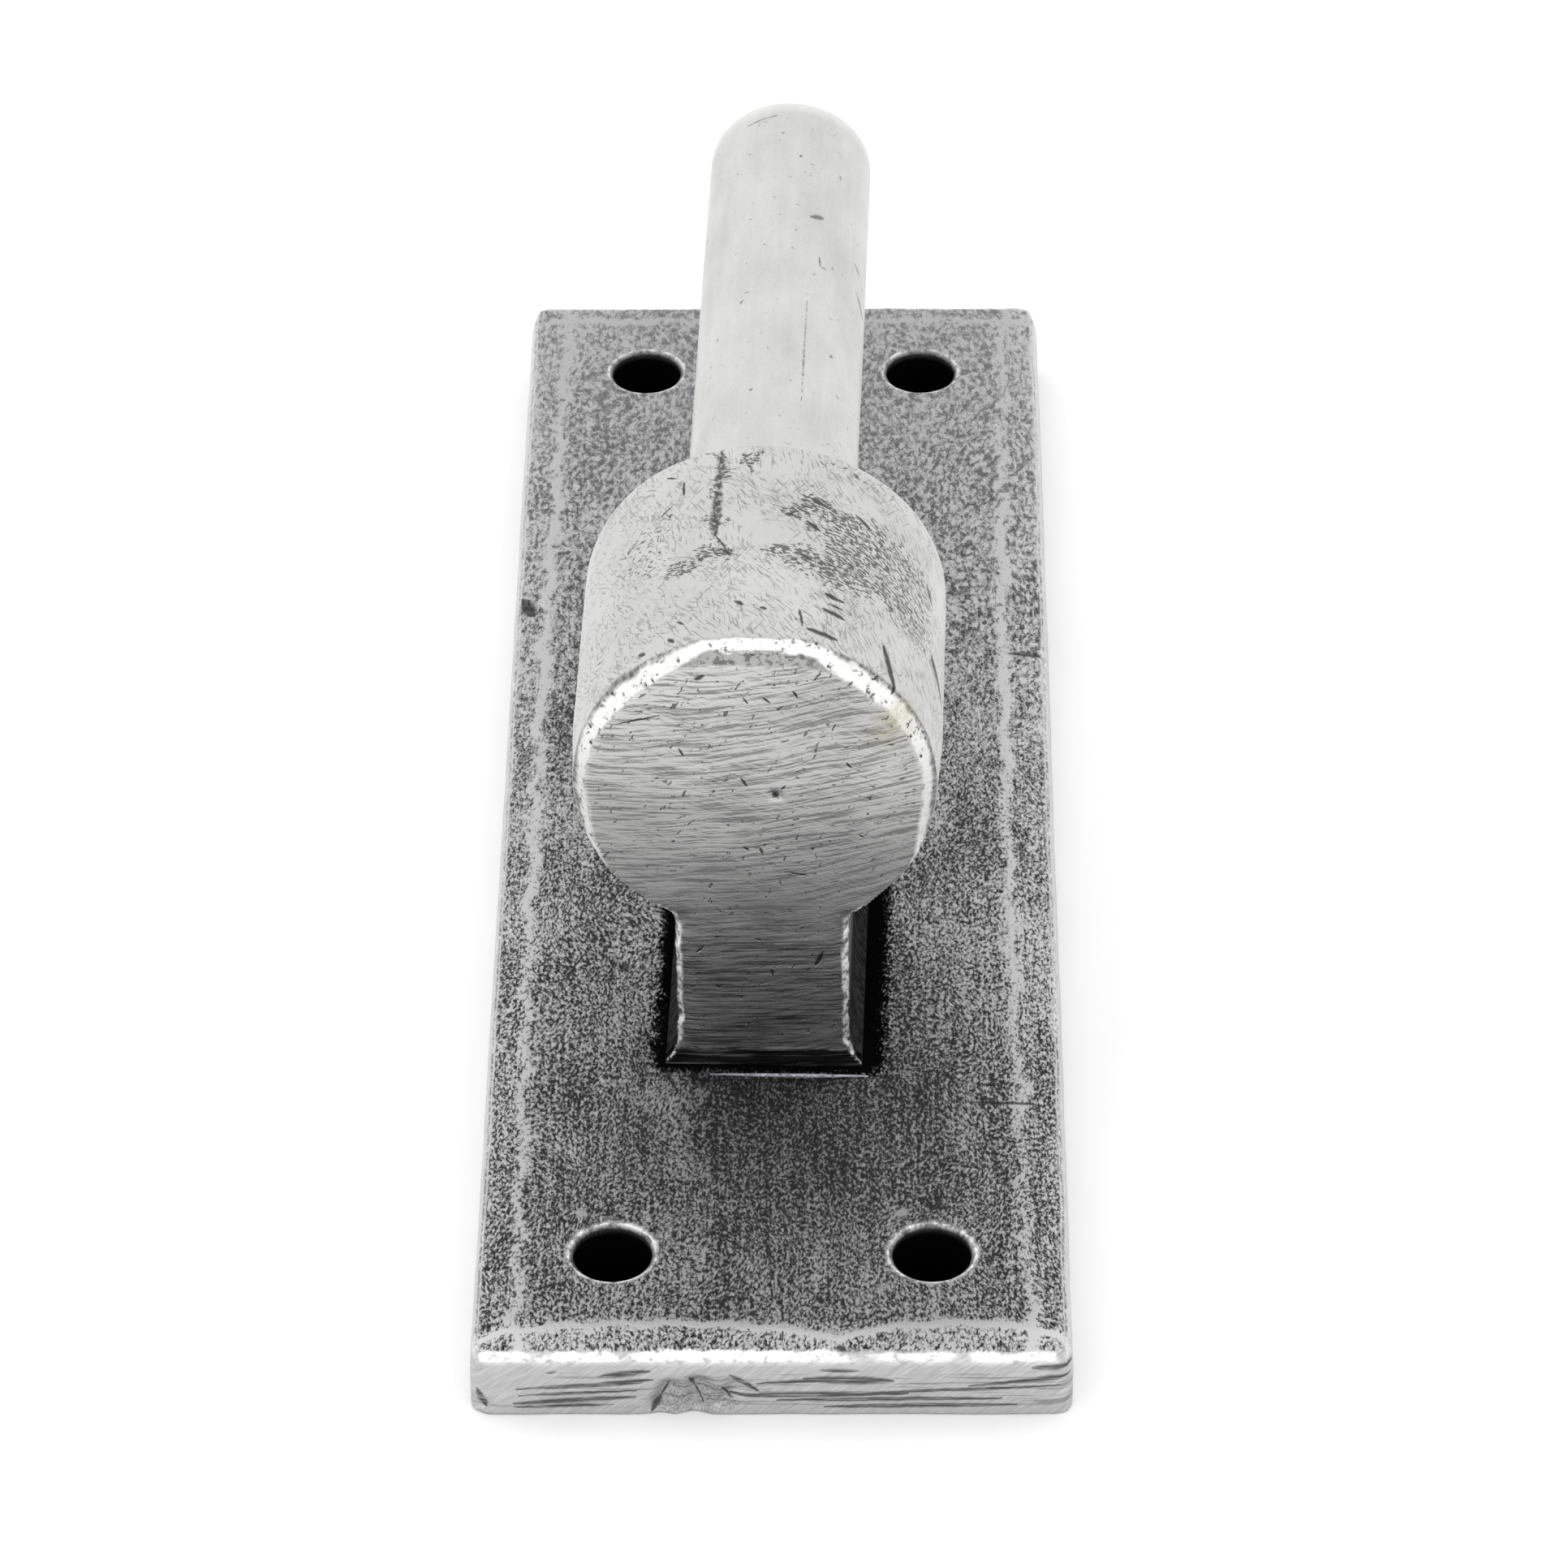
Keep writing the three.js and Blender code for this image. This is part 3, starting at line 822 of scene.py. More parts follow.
def plate_finish(settings, hook):
    """Blackened forged steel with its high points rubbed bright by the brush, under painted light and shade,
    with painted shade round the hook's foot and in the holes, and a painted highlight and a painted shadow
    line along the foot.
    """
    steel = Finish("forged plate steel")
    worn, ground, rim, inside = (steel.kept(name) for name in ("worn", "ground", "rim", "inside"))
    _, along, tall = steel.axes()
    face_side = tall.between(4.0, 4.8)
    crumbs = steel.grain((8.5, 5.5, 8.5), roughness=0.6, shift=11.0)
    slope = steel.grain((0.5, 1.0, 6.0), detail=3.0, roughness=0.65, distortion=0.3,
                        turn=(0, math.radians(38), 0), shift=7.0)
    broken = steel.grain((1.5, 1.4, 1.6), detail=3.0, roughness=0.65, shift=31.0)
    height = forged_grain(steel, along, crumbs)
    notches = steel.strokes(NOTCHES, steel.ragged(0.2, 1.5, FROM_ABOVE)) * face_side
    # Dark dents and gouges, and a painted shadow line in front of the hook's foot
    dark_spots_and_shadow = steel.most(steel.strokes(DARK_SPOTS_AND_SHADOW_LINE, steel.ragged(0.22, 3.2)), notches)
    # A painted highlight along the front of the hook's foot
    foot_highlight = steel.strokes(FOOT_HIGHLIGHT, steel.ragged(0.08, 2.0))

    # Unbrushed black patina and painted contact shade round the hook's foot, and painted shade inside the
    # holes
    square = steel.moved(steel.place, HOOK_ORIGIN / MM, HOOK_TURN)
    # Unbrushed black patina and painted contact shade: a dark box on the plate round the hook's foot
    foot_patina_and_shade = steel.patch((0.72, 0.1, 0), (6.88, 10.85, 2), 2.3, steel.ragged(1.1, 0.7, place=square))
    foot_patina_and_shade = (foot_patina_and_shade + (height - 0.5) * -1.8).between(0.22, 0.74)
    # The foot's patina and painted shade, and the painted shade in the holes
    patina_and_shade = steel.most(foot_patina_and_shade, inside)

    shine = worn * broken.between(0.34, 0.5, 0.15, 1.0)
    hoop = rim * broken.between(0.36, 0.6, 0.4, 1.7) * along.between(-20.0, 40.0, 1.35, 0.95)
    face, side = face_tone(steel, height, along, face_side), side_tone(steel, slope, crumbs, along, tall)
    bright = steel.most(steel.blend(ground, face, side) + shine * 2.2, hoop)
    # Darkened by the dark spots, the painted shadow line, the foot's patina and painted shade, and the
    # painted shade in the holes
    bright = bright * (1 - dark_spots_and_shadow * 0.8) * (1 - foot_patina_and_shade * 0.97) * (1 - inside * 0.985)
    base = steel.tint(bright, rgba(settings.recess), rgba(settings.peak))
    base.node.clamp_factor = False
    # Unbrushed patina and painted shade are given the same black
    base = steel.tint(patina_and_shade, base, rgba(hook.patina_and_shade))
    # The painted highlight along the foot is given its pale colour
    base = steel.tint(foot_highlight, base, rgba(settings.foot_highlight))
    gloss = steel.blend(shine, steel.blend(steel.math("MINIMUM", bright, 1.0), 0.6, 0.42), 0.3)
    relief = steel.blend(shine, steel.blend(ground, height, slope * 0.45), 0.6) - dark_spots_and_shadow * 0.8
    return steel.shade(base, gloss, relief, 0.065, metal=1 - patina_and_shade)


def make_plate(settings, hook):
    """The back plate, drilled, mortised and finished."""
    plate = plate_blank(settings)
    hammer_plate(plate, settings)
    for x, y in hole_places(settings):
        join_or_cut(plate, drill(settings, x, y), "DIFFERENCE")
    gap = 0.08 * MM
    half = Vector((hook.tenon_width / 2 + gap, hook.tenon_length / 2 + gap, 0))
    slot = cube("mortise", (-half.x, -half.y, -1 * MM), (half.x, half.y, settings.thickness + 1 * MM))
    settle(slot, Matrix.Translation(HOOK_ORIGIN.xy.to_3d()) @ Matrix.Rotation(HOOK_TURN, 4, "Z"))
    join_or_cut(plate, slot, "DIFFERENCE")
    only(plate)
    bpy.ops.object.shade_smooth_by_angle(angle=math.radians(42))
    keep_plate_marks(plate, settings)
    plate.data.materials.append(plate_finish(settings, hook))
    return plate


# The hook, built in its own frame: under the middle of the neck on the plate's face, +Y along the pin

def to_hook_frame():
    """From the hook's own frame to the part's frame."""
    return Matrix.Translation(HOOK_ORIGIN) @ Matrix.Rotation(HOOK_TURN, 4, "Z")


def make_boss(settings):
    """The round boss, lying along +Y, with a rounded far rim."""
    boss = cylinder("boss", BOSS_RADIUS, -HOOK_LENGTH / 2, HOOK_LENGTH / 2, 128)
    with editing(boss, "EDGE"):
        pick(boss, "edges", lambda edge: all(vertex.co.z < -HOOK_LENGTH * 0.49 for vertex in edge.verts))
        bpy.ops.mesh.bevel(offset=settings.far_rim, segments=3, profile=0.5)
    settle(boss, Matrix.Translation((0, 0, PIN_HEIGHT)) @ Matrix.Rotation(math.radians(90), 4, "X"))
    return boss


def make_neck(settings):
    """The neck: a block with worn edges, filleted into the boss, with a flared foot and a tenon."""
    half_x, half_y = settings.neck_width / 2, HOOK_LENGTH / 2
    fillet = 1.8 * MM
    fillet_x = half_x + fillet
    fillet_z = PIN_HEIGHT - math.sqrt((BOSS_RADIUS + fillet) ** 2 - fillet_x ** 2)
    end_angle = math.atan2(PIN_HEIGHT - fillet_z, fillet_x)
    top = PIN_HEIGHT - 3 * MM
    neck = cube("neck", (-half_x, -half_y, 0), (half_x, half_y, top))
    with editing(neck, "EDGE"):
        pick(neck, "edges", lambda edge: abs(edge.verts[0].co.z - edge.verts[1].co.z) > top / 2)
        bpy.ops.mesh.bevel(offset=settings.neck_chamfer, segments=1)
    steps = [end_angle * step / 4 for step in range(5)]
    levels = [(fillet_z + fillet * math.sin(angle), fillet * (1 - math.cos(angle))) for angle in steps]
    foot = [(2.6 * MM * (1 - step / 5), settings.flare * (step / 5) ** 2.0) for step in range(6)]
    cut_across(neck, 2, [level for level, _ in levels] + [level for level, _ in foot[:-1]])
    with editing(neck, "VERT"):
        for level, out in levels + foot:
            pick(neck, "verts", lambda vertex: abs(vertex.co.z - level) < 0.01 * MM)
            along = 0.5 if level < 3 * MM else 0.0
            wider = ((half_x + out) / half_x, (half_y + out * along) / half_y, 1)
            bpy.ops.transform.resize(value=wider, center_override=(0, 0, level))
        bpy.ops.mesh.select_mode(type="FACE")
        pick(neck, "faces", lambda face: face.normal.z < -0.9 and middle(face).z < 0.01 * MM)
        foot_x, foot_y = half_x + settings.flare, half_y + settings.flare / 2
        bpy.ops.mesh.extrude_region_move(TRANSFORM_OT_translate={"value": (0, 0, 0)})
        narrow = (settings.tenon_width / 2 / foot_x, settings.tenon_length / 2 / foot_y, 1)
        bpy.ops.transform.resize(value=narrow, center_override=(0, 0, 0))
        bpy.ops.mesh.extrude_region_move(TRANSFORM_OT_translate={"value": (0, 0, -FACE + 0.05 * MM)})
    return neck


# Dents in the hook, in its own frame: start, end, width and depth in millimetres
HOOK_DENTS = (
    ((-3.1, 10.6, 36.2), (-2.9, 1.2, 36.3), 0.5, 0.1), ((2.6, 4.9, 36.2), (3.1, 3.8, 36.2), 0.9, 0.12),
    ((4.2, -8.6, 36), (5, -9, 35.9), 0.45, 0.12), ((4.7, -4.8, 35.8), (5.5, -4.6, 35.5), 0.5, 0.1),
    ((8.4, -7, 33.5), (9.5, -10.2, 32.4), 0.45, 0.14), ((11.6, -2.4, 28.7), (12.1, -3.8, 27.6), 0.45, 0.14),
    ((1.3, -11.1, 23.9), (1.45, -11.1, 23.6), 0.45, 0.16),
)


def wear_hook(hook, settings):
    """Barrels the boss, flattens its top, wears its near rim and the neck's edges, and dents it."""
    places = places_of(hook)
    x, y, z = places.T.copy()
    height, radius, half = PIN_HEIGHT / MM, BOSS_RADIUS / MM, HOOK_LENGTH / MM / 2
    y = np.where(y < -half + 0.15, -half, y)
    up = z - height
    out = np.hypot(x, up)
    on_boss = ease(z, height - radius, height - radius + 3.5) * ease(out, radius * 0.55, radius * 0.9)
    narrow = 0.26 * ease(y, -half + 7.0, -half) + 0.03 * ease(y, half - 3.0, half)
    narrow += 0.08 * hollows(places, 6.0, 51) + 0.03 * hollows(places, 2.0, 52)
    pull = on_boss * narrow / np.maximum(out, 1e-6)
    x, up = x * (1 - pull), up * (1 - pull)
    slack = (0.30 + 0.42 * ease(y, 1.0, -half)) * ease(y, half, half - 6.0)
    ceiling = radius - slack - 0.012 * (x - 0.3) ** 2 * ease(y, 1.0, -half)
    over = np.clip(up - ceiling, 0, None)
    up -= over * ease(up, 0, radius * 0.6)
    out = np.hypot(x, up)
    angle = np.degrees(np.arctan2(x, up))
    near_radius = radius - 0.26 - 0.04
    proud_of = np.maximum(out - near_radius, up - (radius - 0.72))
    arcs = np.exp(-((angle + 44) / 19) ** 2) + np.exp(-((angle - 44) / 21) ** 2)
    width = settings.near_rim / MM * ease(np.abs(angle), 128, 100)
    width += 0.28 * arcs + 0.42 * ease(np.abs(angle), 26, 16)
    width += 0.14 * rough(places, 2.6, 53) + 0.10 * rough(places, 0.9, 54)
    cut = np.clip(proud_of + (-y - half) + width, 0, None) * ease(up, -11.5, -10.5)
    cut *= ease(out, radius - 3.5, radius - 2.5)
    y += cut / 2
    shrink = 1 - (cut / 2) / np.maximum(out, 1e-6)
    x, up = x * shrink, up * shrink
    shift = 0.40 * ease(z, 16.0, 11.5)
    corner = ease(np.abs(x), 4.6, 5.6) * ease(y, -half + 1.3, -half + 0.2)
    corner *= ease(z, 14.0, 12.5) * ease(z, 0.3, 1.4)
    bite = corner * (0.14 * rough(places, 0.8, 55) + 0.16 * rough(places, 2.5, 56))
    x = x + shift - np.sign(x) * bite
    y = y + corner * 0.10 * (1 + rough(places, 0.7, 57))
    moved = np.column_stack([x, y, up + height])
    toward = np.array([0.0, 0.0, height]) - moved
    toward[:, 1] = 0
    toward /= np.maximum(np.linalg.norm(toward, axis=1), 1e-6)[:, None]
    for start, end, wide, deep in HOOK_DENTS:
        away = near_line(moved, start, end)
        way = toward if start[1] > -half + 0.5 else np.array([0.0, 1.0, 0.0])
        moved = moved + (deep * ease(away, wide, 0.0))[:, None] * way
    moved[:, 2] = np.clip(moved[:, 2], -FACE / MM, (hook_high.z - FACE) / MM)
    move_to(hook, moved)


def keep_hook_marks(hook):
    """Stores where the hook is worn bright or creased, and which way each surface faces."""
    places, normals = places_of(hook), normals_of(hook)
    x, y, z = places.T
    half, height, radius = HOOK_LENGTH / MM / 2, PIN_HEIGHT / MM, BOSS_RADIUS / MM
    proud = proudness(hook, 3)
    out = np.hypot(x, z - height)
    angle = np.degrees(np.arctan2(x, z - height))
    arcs = np.exp(-((angle + 47) / 32) ** 4) + np.exp(-((angle - 46) / 32) ** 4)
    slanted = ease(-normals[:, 1], 0.97, 0.88) * ease(-normals[:, 1], 0.30, 0.45)
    rim = slanted * ease(out, radius - 2.6, radius - 2.0) * ease(z, height - 9.5, height - 5)
    rim *= ease(-y, half - 1.9, half - 1.5)
    lips = slanted * ease(np.abs(x), 4.4, 5.0) * ease(-y, half - 1.5, half - 1.2)
    lips *= ease(z, 15.0, 14.0) * ease(z, 0.1, 0.4)
    store(hook, "rim", rim)
    store(hook, "crown", ease(np.abs(angle - 1.0), 32, 13))
    store(hook, "arcs", arcs)
    # The neck's front edges, which get a painted highlight
    store(hook, "lip", lips)
    store(hook, "worn", ease(proud, 0.07, 0.18))
    # Creases, where painted shade goes
    store(hook, "crease", ease(proud, -0.03, -0.12))
    store(hook, "ends", ease(np.abs(normals[:, 1]), 0.80, 0.95))
    # Faces turned sideways, low on the hook, which get painted shade
    store(hook, "flank", ease(np.abs(normals[:, 0]), 0.6, 0.85) * ease(z, 14.5, 12.0))


# Marks on the unrolled barrel: start, end and width, round it and along it from the top
PIT_PATCHES = (
    ((1.7, 3.1), (2.5, 4.2), 1.1), ((2.4, 4.5), (4.5, 5.5), 1.3), ((2.6, 3.1), (4.2, 2.2), 1.1),
    ((1, -0.4), (5.2, -2.2), 1.7), ((2.6, -1), (3.8, -1.5), 0.9), ((-2.9, 0.6), (-2, -1.1), 0.55),
    ((-6, -1.8), (-2.6, -0.8), 1.5), ((-1, 10.4), (-0.8, 8), 0.8), ((-3.9, 10.6), (-2.6, 9.8), 0.8),
    ((-2.95, 10.6), (-3.1, 0.9), 0.62), ((4.5, 10.3), (8, 9.4), 0.5),
)
BARREL_NICKS = (
    ((-3, 1), (-2, -1), 0.12), ((-2.4, -0.7), (-1.9, -1.2), 0.3), ((3.4, 5.5), (4.4, 5), 0.36),
    ((1.8, 3.5), (2.2, 3.2), 0.34), ((3.2, 2.8), (4.1, 2.1), 0.3), ((2.8, -0.9), (3.6, -1.4), 0.32),
    ((6.7, 5.4), (8, 4.6), 0.24), ((3.6, -8.65), (5.7, -8.85), 0.34), ((4.7, -4.5), (6.1, -4.8), 0.3),
    ((5, -5.5), (6, -5.65), 0.18), ((4.6, -6.2), (6.2, -6.5), 0.32), ((-1.4, -6), (-0.9, -6.3), 0.3),
    ((0.4, -6.6), (0.8, -6.8), 0.22), ((9.5, -6.8), (10.9, -10.2), 0.36), ((15.2, -2), (18, -4), 0.55),
    ((14, 4.5), (14.8, 3.4), 0.3), ((-8.4, -9), (-7.9, -9.3), 0.34), ((-6, -8.9), (-5.6, -9.4), 0.26),
    ((3, -6.6), (3.3, -8.3), 0.16), ((-5.4, -7.4), (-4.9, -7.9), 0.16), ((-5.6, 8.2), (-5.5, 6.6), 0.14),
    ((-7.4, 5.2), (-6.4, 5.8), 0.12), ((-7, 9.5), (-6.2, 8.9), 0.15),
)
SEAM = (
    ((-2.95, 10.9), (-3, 6), 0.42), ((-2.95, 7.2), (-3.1, 0.7), 0.5),
)
# Nicks in the hook's near face, in its own frame
FACE_NICKS = (
    ((1.2, -11.1, 24), (1.55, -11.1, 23.5), 0.36), ((-0.9, -11.1, 25.2), (-0.5, -11.1, 24.5), 0.14),
    ((1.8, -11.1, 24.3), (2.1, -11.1, 24.6), 0.13), ((-0.8, -11.1, 19.3), (-0.4, -11.1, 19), 0.14),
    ((0.3, -11.1, 19.3), (0.5, -11.1, 18.7), 0.15), ((1.9, -11.1, 17.2), (3.6, -11.1, 16.9), 0.1),
    ((4, -11.1, 9), (4.55, -11.1, 10.3), 0.24), ((-4.1, -11.1, 10), (-3.6, -11.1, 10.5), 0.16),
    ((-9.2, -11.1, 29.6), (-6.2, -11.1, 30.4), 0.09), ((2.6, -11.1, 32.6), (2.9, -11.1, 32.1), 0.14),
    ((-0.7, -11.1, 32), (-0.4, -11.1, 31.5), 0.12), ((0.6, -11.1, 32), (1.1, -11.1, 31.6), 0.12),
    ((-5, -11.1, 27.6), (-4.7, -11.1, 27), 0.14), ((6.1, -11.1, 26.6), (6.5, -11.1, 26.2), 0.12),
    ((-2.8, -11.1, 7.1), (-2.5, -11.1, 6.9), 0.14), ((1, -11.1, 8.6), (1.1, -11.1, 8), 0.14),
    ((-3.9, -11, 33.4), (-3.2, -11, 33.8), 0.26), ((6, -11, 33), (6.6, -11, 33.4), 0.16),
    ((-0.2, -11.1, 11.3), (0.4, -11.1, 11.2), 0.09), ((6.9, -11.1, 20.5), (7.3, -11.1, 20.3), 0.12),
)


def near_face_tone(steel, clouds):
    """How bright the near face is under its fine scores, which bow downwards and climb to the right."""
    across, along, tall = steel.axes()
    sag = across * across * -0.01
    wave = (steel.grain((0.13, 0.1, 0.13), detail=1.0, shift=41.0) - 0.5) * 1.6
    bowed = steel.add("ShaderNodeCombineXYZ", {0: across, 1: along, 2: tall + sag + wave}).outputs[0]
    tilt = math.radians(7)
    slight = math.radians(2)
    lines = steel.grain((0.22, 0.2, 5.5), detail=3.0, roughness=0.6, turn=(0, tilt, 0), place=bowed)
    thin = steel.grain((0.3, 0.5, 11.0), roughness=0.6, turn=(0, tilt * 2, 0), shift=5.0, place=bowed)
    crossing = steel.grain((0.5, 0.5, 9.0), turn=(0, math.radians(-24), 0), shift=33.0)
    scored = lines * 0.5 + thin * 0.34 + crossing * 0.16
    tone = scored.between(0.42, 0.53, 0.5, 1.16) * (1.0 + (clouds - 0.5) * 0.5)
    smears = steel.grain((0.1, 0.2, 1.9), detail=3.0, roughness=0.65, turn=(0, slight, 0), shift=52.0)
    tone = tone * (1 - smears.between(0.58, 0.44) * tall.between(15.0, 9.0) * 0.3)
    rules = steel.grain((0.22, 0.2, 7.0), detail=3.0, roughness=0.65, distortion=0.2, turn=(0, slight, 0),
                        shift=58.0)
    tone = tone * (1 - rules.between(0.5, 0.57) * tall.between(17.0, 10.0) * 0.72)
    # The second factor is painted shade: the near face darkens towards its foot
    tone = tone * tall.between(17.0, 10.0, 1.0, 1.26) * tall.between(5.0, 24.0, 0.83, 1.09)
    return scored, tone


def barrel_tone(steel, flat, clouds):
    """How bright the brushed barrel is, its strokes in patches that each have their own direction."""
    around, along, _ = steel.axes(flat)
    near_band = along.between(-4.0, -7.0) * abs(around).between(9.0, 6.0)
    strokes = 0.0
    for step, (degrees, least) in enumerate(((48, 0.46), (-58, 0.49), (24, 0.50), (80, 0.49), (62, 0.44))):
        cloud = steel.grain((0.26, 0.26, 1.0), shift=5.0 + 9.0 * step, place=flat)
        if step == 0:
            cloud = cloud + near_band * 0.18
        turn = (0, 0, math.radians(degrees))
        hair = steel.grain((0.85, 6.0, 1.0), detail=1.0, turn=turn, shift=2.0 * step, place=flat)
        strokes = steel.most(strokes, hair.between(0.56, 0.68) * cloud.between(least, least + 0.1))
    tone = (1.1 + (clouds - 0.5) * 0.34) * (1 - strokes * 0.43)
    return strokes, tone


def forging_pits(steel, flat):
    """Pits left from the forging: short slanting specks in a few patches on the barrel."""
    loose = steel.shaken((4.5, 4.5, 0.0), 0.55, detail=3.0, place=flat)
    around, _, _ = steel.axes(flat)
    broad = steel.patch((9.4, 1.0, 0), (4.0, 2.9, 0.1), 3.2, loose) * around.between(16.0, 8.0, 0.72, 0.96)
    faint = steel.patch((-8.6, 2.4, 0), (1.2, 2.0, 0.1), 2.2, loose) * 0.55
    patches = steel.most(steel.strokes(PIT_PATCHES, loose), steel.most(broad, faint))
    specks = steel.grain((2.3, 5.2, 1.0), detail=1.0, distortion=0.4,
                         turn=(0, 0, math.radians(18)), shift=17.0, place=flat)
    scatter = steel.grain((0.35, 0.35, 1.0), shift=19.0, place=flat)
    threshold = 0.725 - patches * 0.247 - scatter.between(0.48, 0.7) * 0.05
    return (specks - threshold).between(0.0, 0.05)


def hook_marks(steel, flat, ends):
    """Pits and nicks in the barrel, and nicks and short flecks in the near face."""
    nicks = steel.strokes(BARREL_NICKS, steel.ragged(0.24, 2.2, place=flat))
    seam = steel.strokes(SEAM, steel.ragged(0.55, 2.4, place=flat))
    crusty = steel.grain((3.6, 2.0, 1.0), shift=71.0, place=flat)
    nicks = steel.most(nicks, seam * crusty.between(0.4, 0.54, 0.4, 1.0))
    flecks = steel.grain((1.3, 1.3, 3.4), turn=(0, math.radians(62), 0), shift=27.0)
    dashes = steel.grain((1.4, 1.4, 4.2), turn=(0, math.radians(18), 0), shift=28.0)
    fleck = steel.most(flecks.between(0.68, 0.72), dashes.between(0.685, 0.72)) * ends * 0.85
    pit = forging_pits(steel, flat) * (1 - ends)
    face_nicks = steel.strokes(FACE_NICKS, steel.ragged(0.16, 3.0))
    return steel.most(steel.most(pit * 0.86, fleck), steel.most(nicks * (1 - ends), face_nicks))


def near_rim(steel, flat, broken):
    """The near rim's own tone, and the bright band that crosses it from its inner to its outer side."""
    crown, arcs = steel.kept("crown"), steel.kept("arcs")
    _, along, _ = steel.axes()
    lumps = steel.grain((0.8, 0.8, 0.8), detail=3.0, roughness=0.6, shift=43.0)
    depth = along + HOOK_LENGTH / MM / 2 + (lumps - 0.5) * 0.7
    band = steel.blend(crown, steel.blend(arcs, 0.22, 0.42), 1.02)
    half_band = steel.blend(crown, steel.blend(arcs, 0.17, 0.34), 0.27)
    from_band = abs(depth - band) - half_band
    glare = from_band.between(steel.blend(crown, 0.3, 0.14), -0.04)
    glare = glare * steel.blend(broken.between(0.36, 0.46), 0.45, 1.0)
    glare = glare * steel.blend(crown, steel.blend(arcs, 0.62, 0.9), 1.0)
    ticks = steel.grain((3.6, 0.7, 1.0), turn=(0, 0, math.radians(24)), shift=46.0, place=flat)
    chips = steel.grain((1.6, 1.2, 2.2), detail=3.0, roughness=0.65, shift=48.0)
    ticked, chipped = ticks.between(0.38, 0.58, 0.45, 1.0), chips.between(0.38, 0.54, 0.45, 1.1)
    return steel.blend(crown, ticked * 0.6, chipped * 0.72), glare


def hook_finish(settings):
    """Ground steel with brush strokes, scored across its near face, with unbrushed black and painted shade
    round the foot, painted shade low on the neck, on its sideways faces and in its creases, and painted
    highlights on the near rim and the neck's front edges.
    """
    steel = Finish("ground hook steel", HOOK_ORIGIN, HOOK_TURN)
    worn, crease, ends, flank, rim, lip = (
        steel.kept(name) for name in ("worn", "crease", "ends", "flank", "rim", "lip"))
    _, _, tall = steel.axes()
    flat = steel.unrolled(PIN_HEIGHT / MM, BOSS_RADIUS / MM)
    clouds = steel.grain((0.12, 0.12, 0.22), shift=9.0)
    broken = steel.grain((1.5, 1.5, 1.5), detail=3.0, roughness=0.7, shift=37.0)
    scored, face_tone = near_face_tone(steel, clouds)
    hatch, tone = barrel_tone(steel, flat, clouds)
    rim_tone, glare = near_rim(steel, flat, broken)
    marks = steel.most(hook_marks(steel, flat, ends), rim * broken.between(0.4, 0.32))
    down = steel.grain((2.8, 2.8, 0.25), shift=6.0)
    bright = steel.math("MINIMUM", glare * rim + worn * 0.2, 1.0)
    # A painted highlight on the neck's front edges: brighter, and made partly non-metal so that it stays pale
    # whatever it mirrors
    lip_highlight = lip * broken.between(0.4, 0.56, 0.05, 0.85)
    tone = steel.blend(ends, tone, face_tone)
    # Painted shade: faces turned sideways low on the hook are made dark, with downward streaks
    tone = steel.blend(flank, tone, down.between(0.35, 0.65, 0.08, 0.34))
    tone = steel.blend(rim, tone, rim_tone)
    # The near rim's painted glare, the worn edges and the painted highlight on the neck's edges are made
    # bright
    tone = steel.blend(steel.most(bright, lip_highlight), tone, 1.78)
    # Painted shade: the creases are darkened
    tone = tone * (1 - marks * 0.84) * (1 - crease * 0.7)

    # Unbrushed black and painted shade round the foot, painted shade low on the neck's sides, and one brown
    # stain by the near rim
    # Unbrushed black patina and painted shade and reflection across the foot
    foot = steel.patch((0, -12.0, -1.0), (9, 1.6, 2.35), 0.35, steel.ragged(0.5, 1.5))
    sheen = steel.grain((0.16, 0.6, 2.6), shift=61.0)
    # Painted shade: the sideways faces darken towards the plate
    sides = flank * tall.between(11.0, 3.0) * 0.8
    patina_and_shade = steel.most(foot * sheen.between(0.5, 0.66, 0.985, 0.8), sides) * (1 - lip_highlight)
    stain = steel.patch((9.3, -11.1, 29.8), (0.5, 1.0, 0.6), 1.5, steel.ragged(2.2, 1.2))
    stain = stain * broken.between(0.35, 0.6, 0.1, 0.5)

    base = steel.tint(tone, BLACK, rgba(settings.steel))
    base.node.clamp_factor = False
    base = steel.tint(stain, base, rgba(settings.stain))
    # Unbrushed black and painted shade share this black
    base = steel.tint(patina_and_shade, base, rgba(settings.patina_and_shade))
    gloss = steel.blend(bright, tone.between(0.2, 1.0, 0.46, 0.33), 0.24)
    relief = steel.blend(ends, hatch * -0.4, scored) - marks * 1.3
    # The painted highlight on the neck's edges is partly non-metal, and the unbrushed black and painted shade
    # are wholly non-metal
    return steel.shade(base, gloss, relief, 0.026, metal=1 - steel.most(lip_highlight * 0.6, patina_and_shade))


def make_hook(settings, pin):
    """The hook: boss, neck and tenon worked into one forging, and bored for the pin."""
    hook = make_boss(settings)
    join_or_cut(hook, make_neck(settings), "UNION")
    hook.name = hook.data.name = "ground_hook"
    apply(hook, "REMESH", mode="VOXEL", voxel_size=0.25 * MM, adaptivity=0.0)
    apply(hook, "SMOOTH", factor=0.5, iterations=2)
    wear_hook(hook, settings)
    bore = cylinder("bore", PIN_RADIUS + 0.04 * MM, 0, pin.depth + 2 * MM, 96)
    inner_end = HOOK_LENGTH / 2 - pin.depth - 0.2 * MM
    settle(bore, Matrix.Translation((0, inner_end, PIN_HEIGHT)) @ Matrix.Rotation(math.radians(-90), 4, "X"))
    join_or_cut(hook, bore, "DIFFERENCE")
    keep_hook_marks(hook)
    settle(hook, to_hook_frame())
    bpy.ops.object.shade_smooth_by_angle(angle=math.radians(50))
    hook.data.materials.append(hook_finish(settings))
    return hook


# The pin

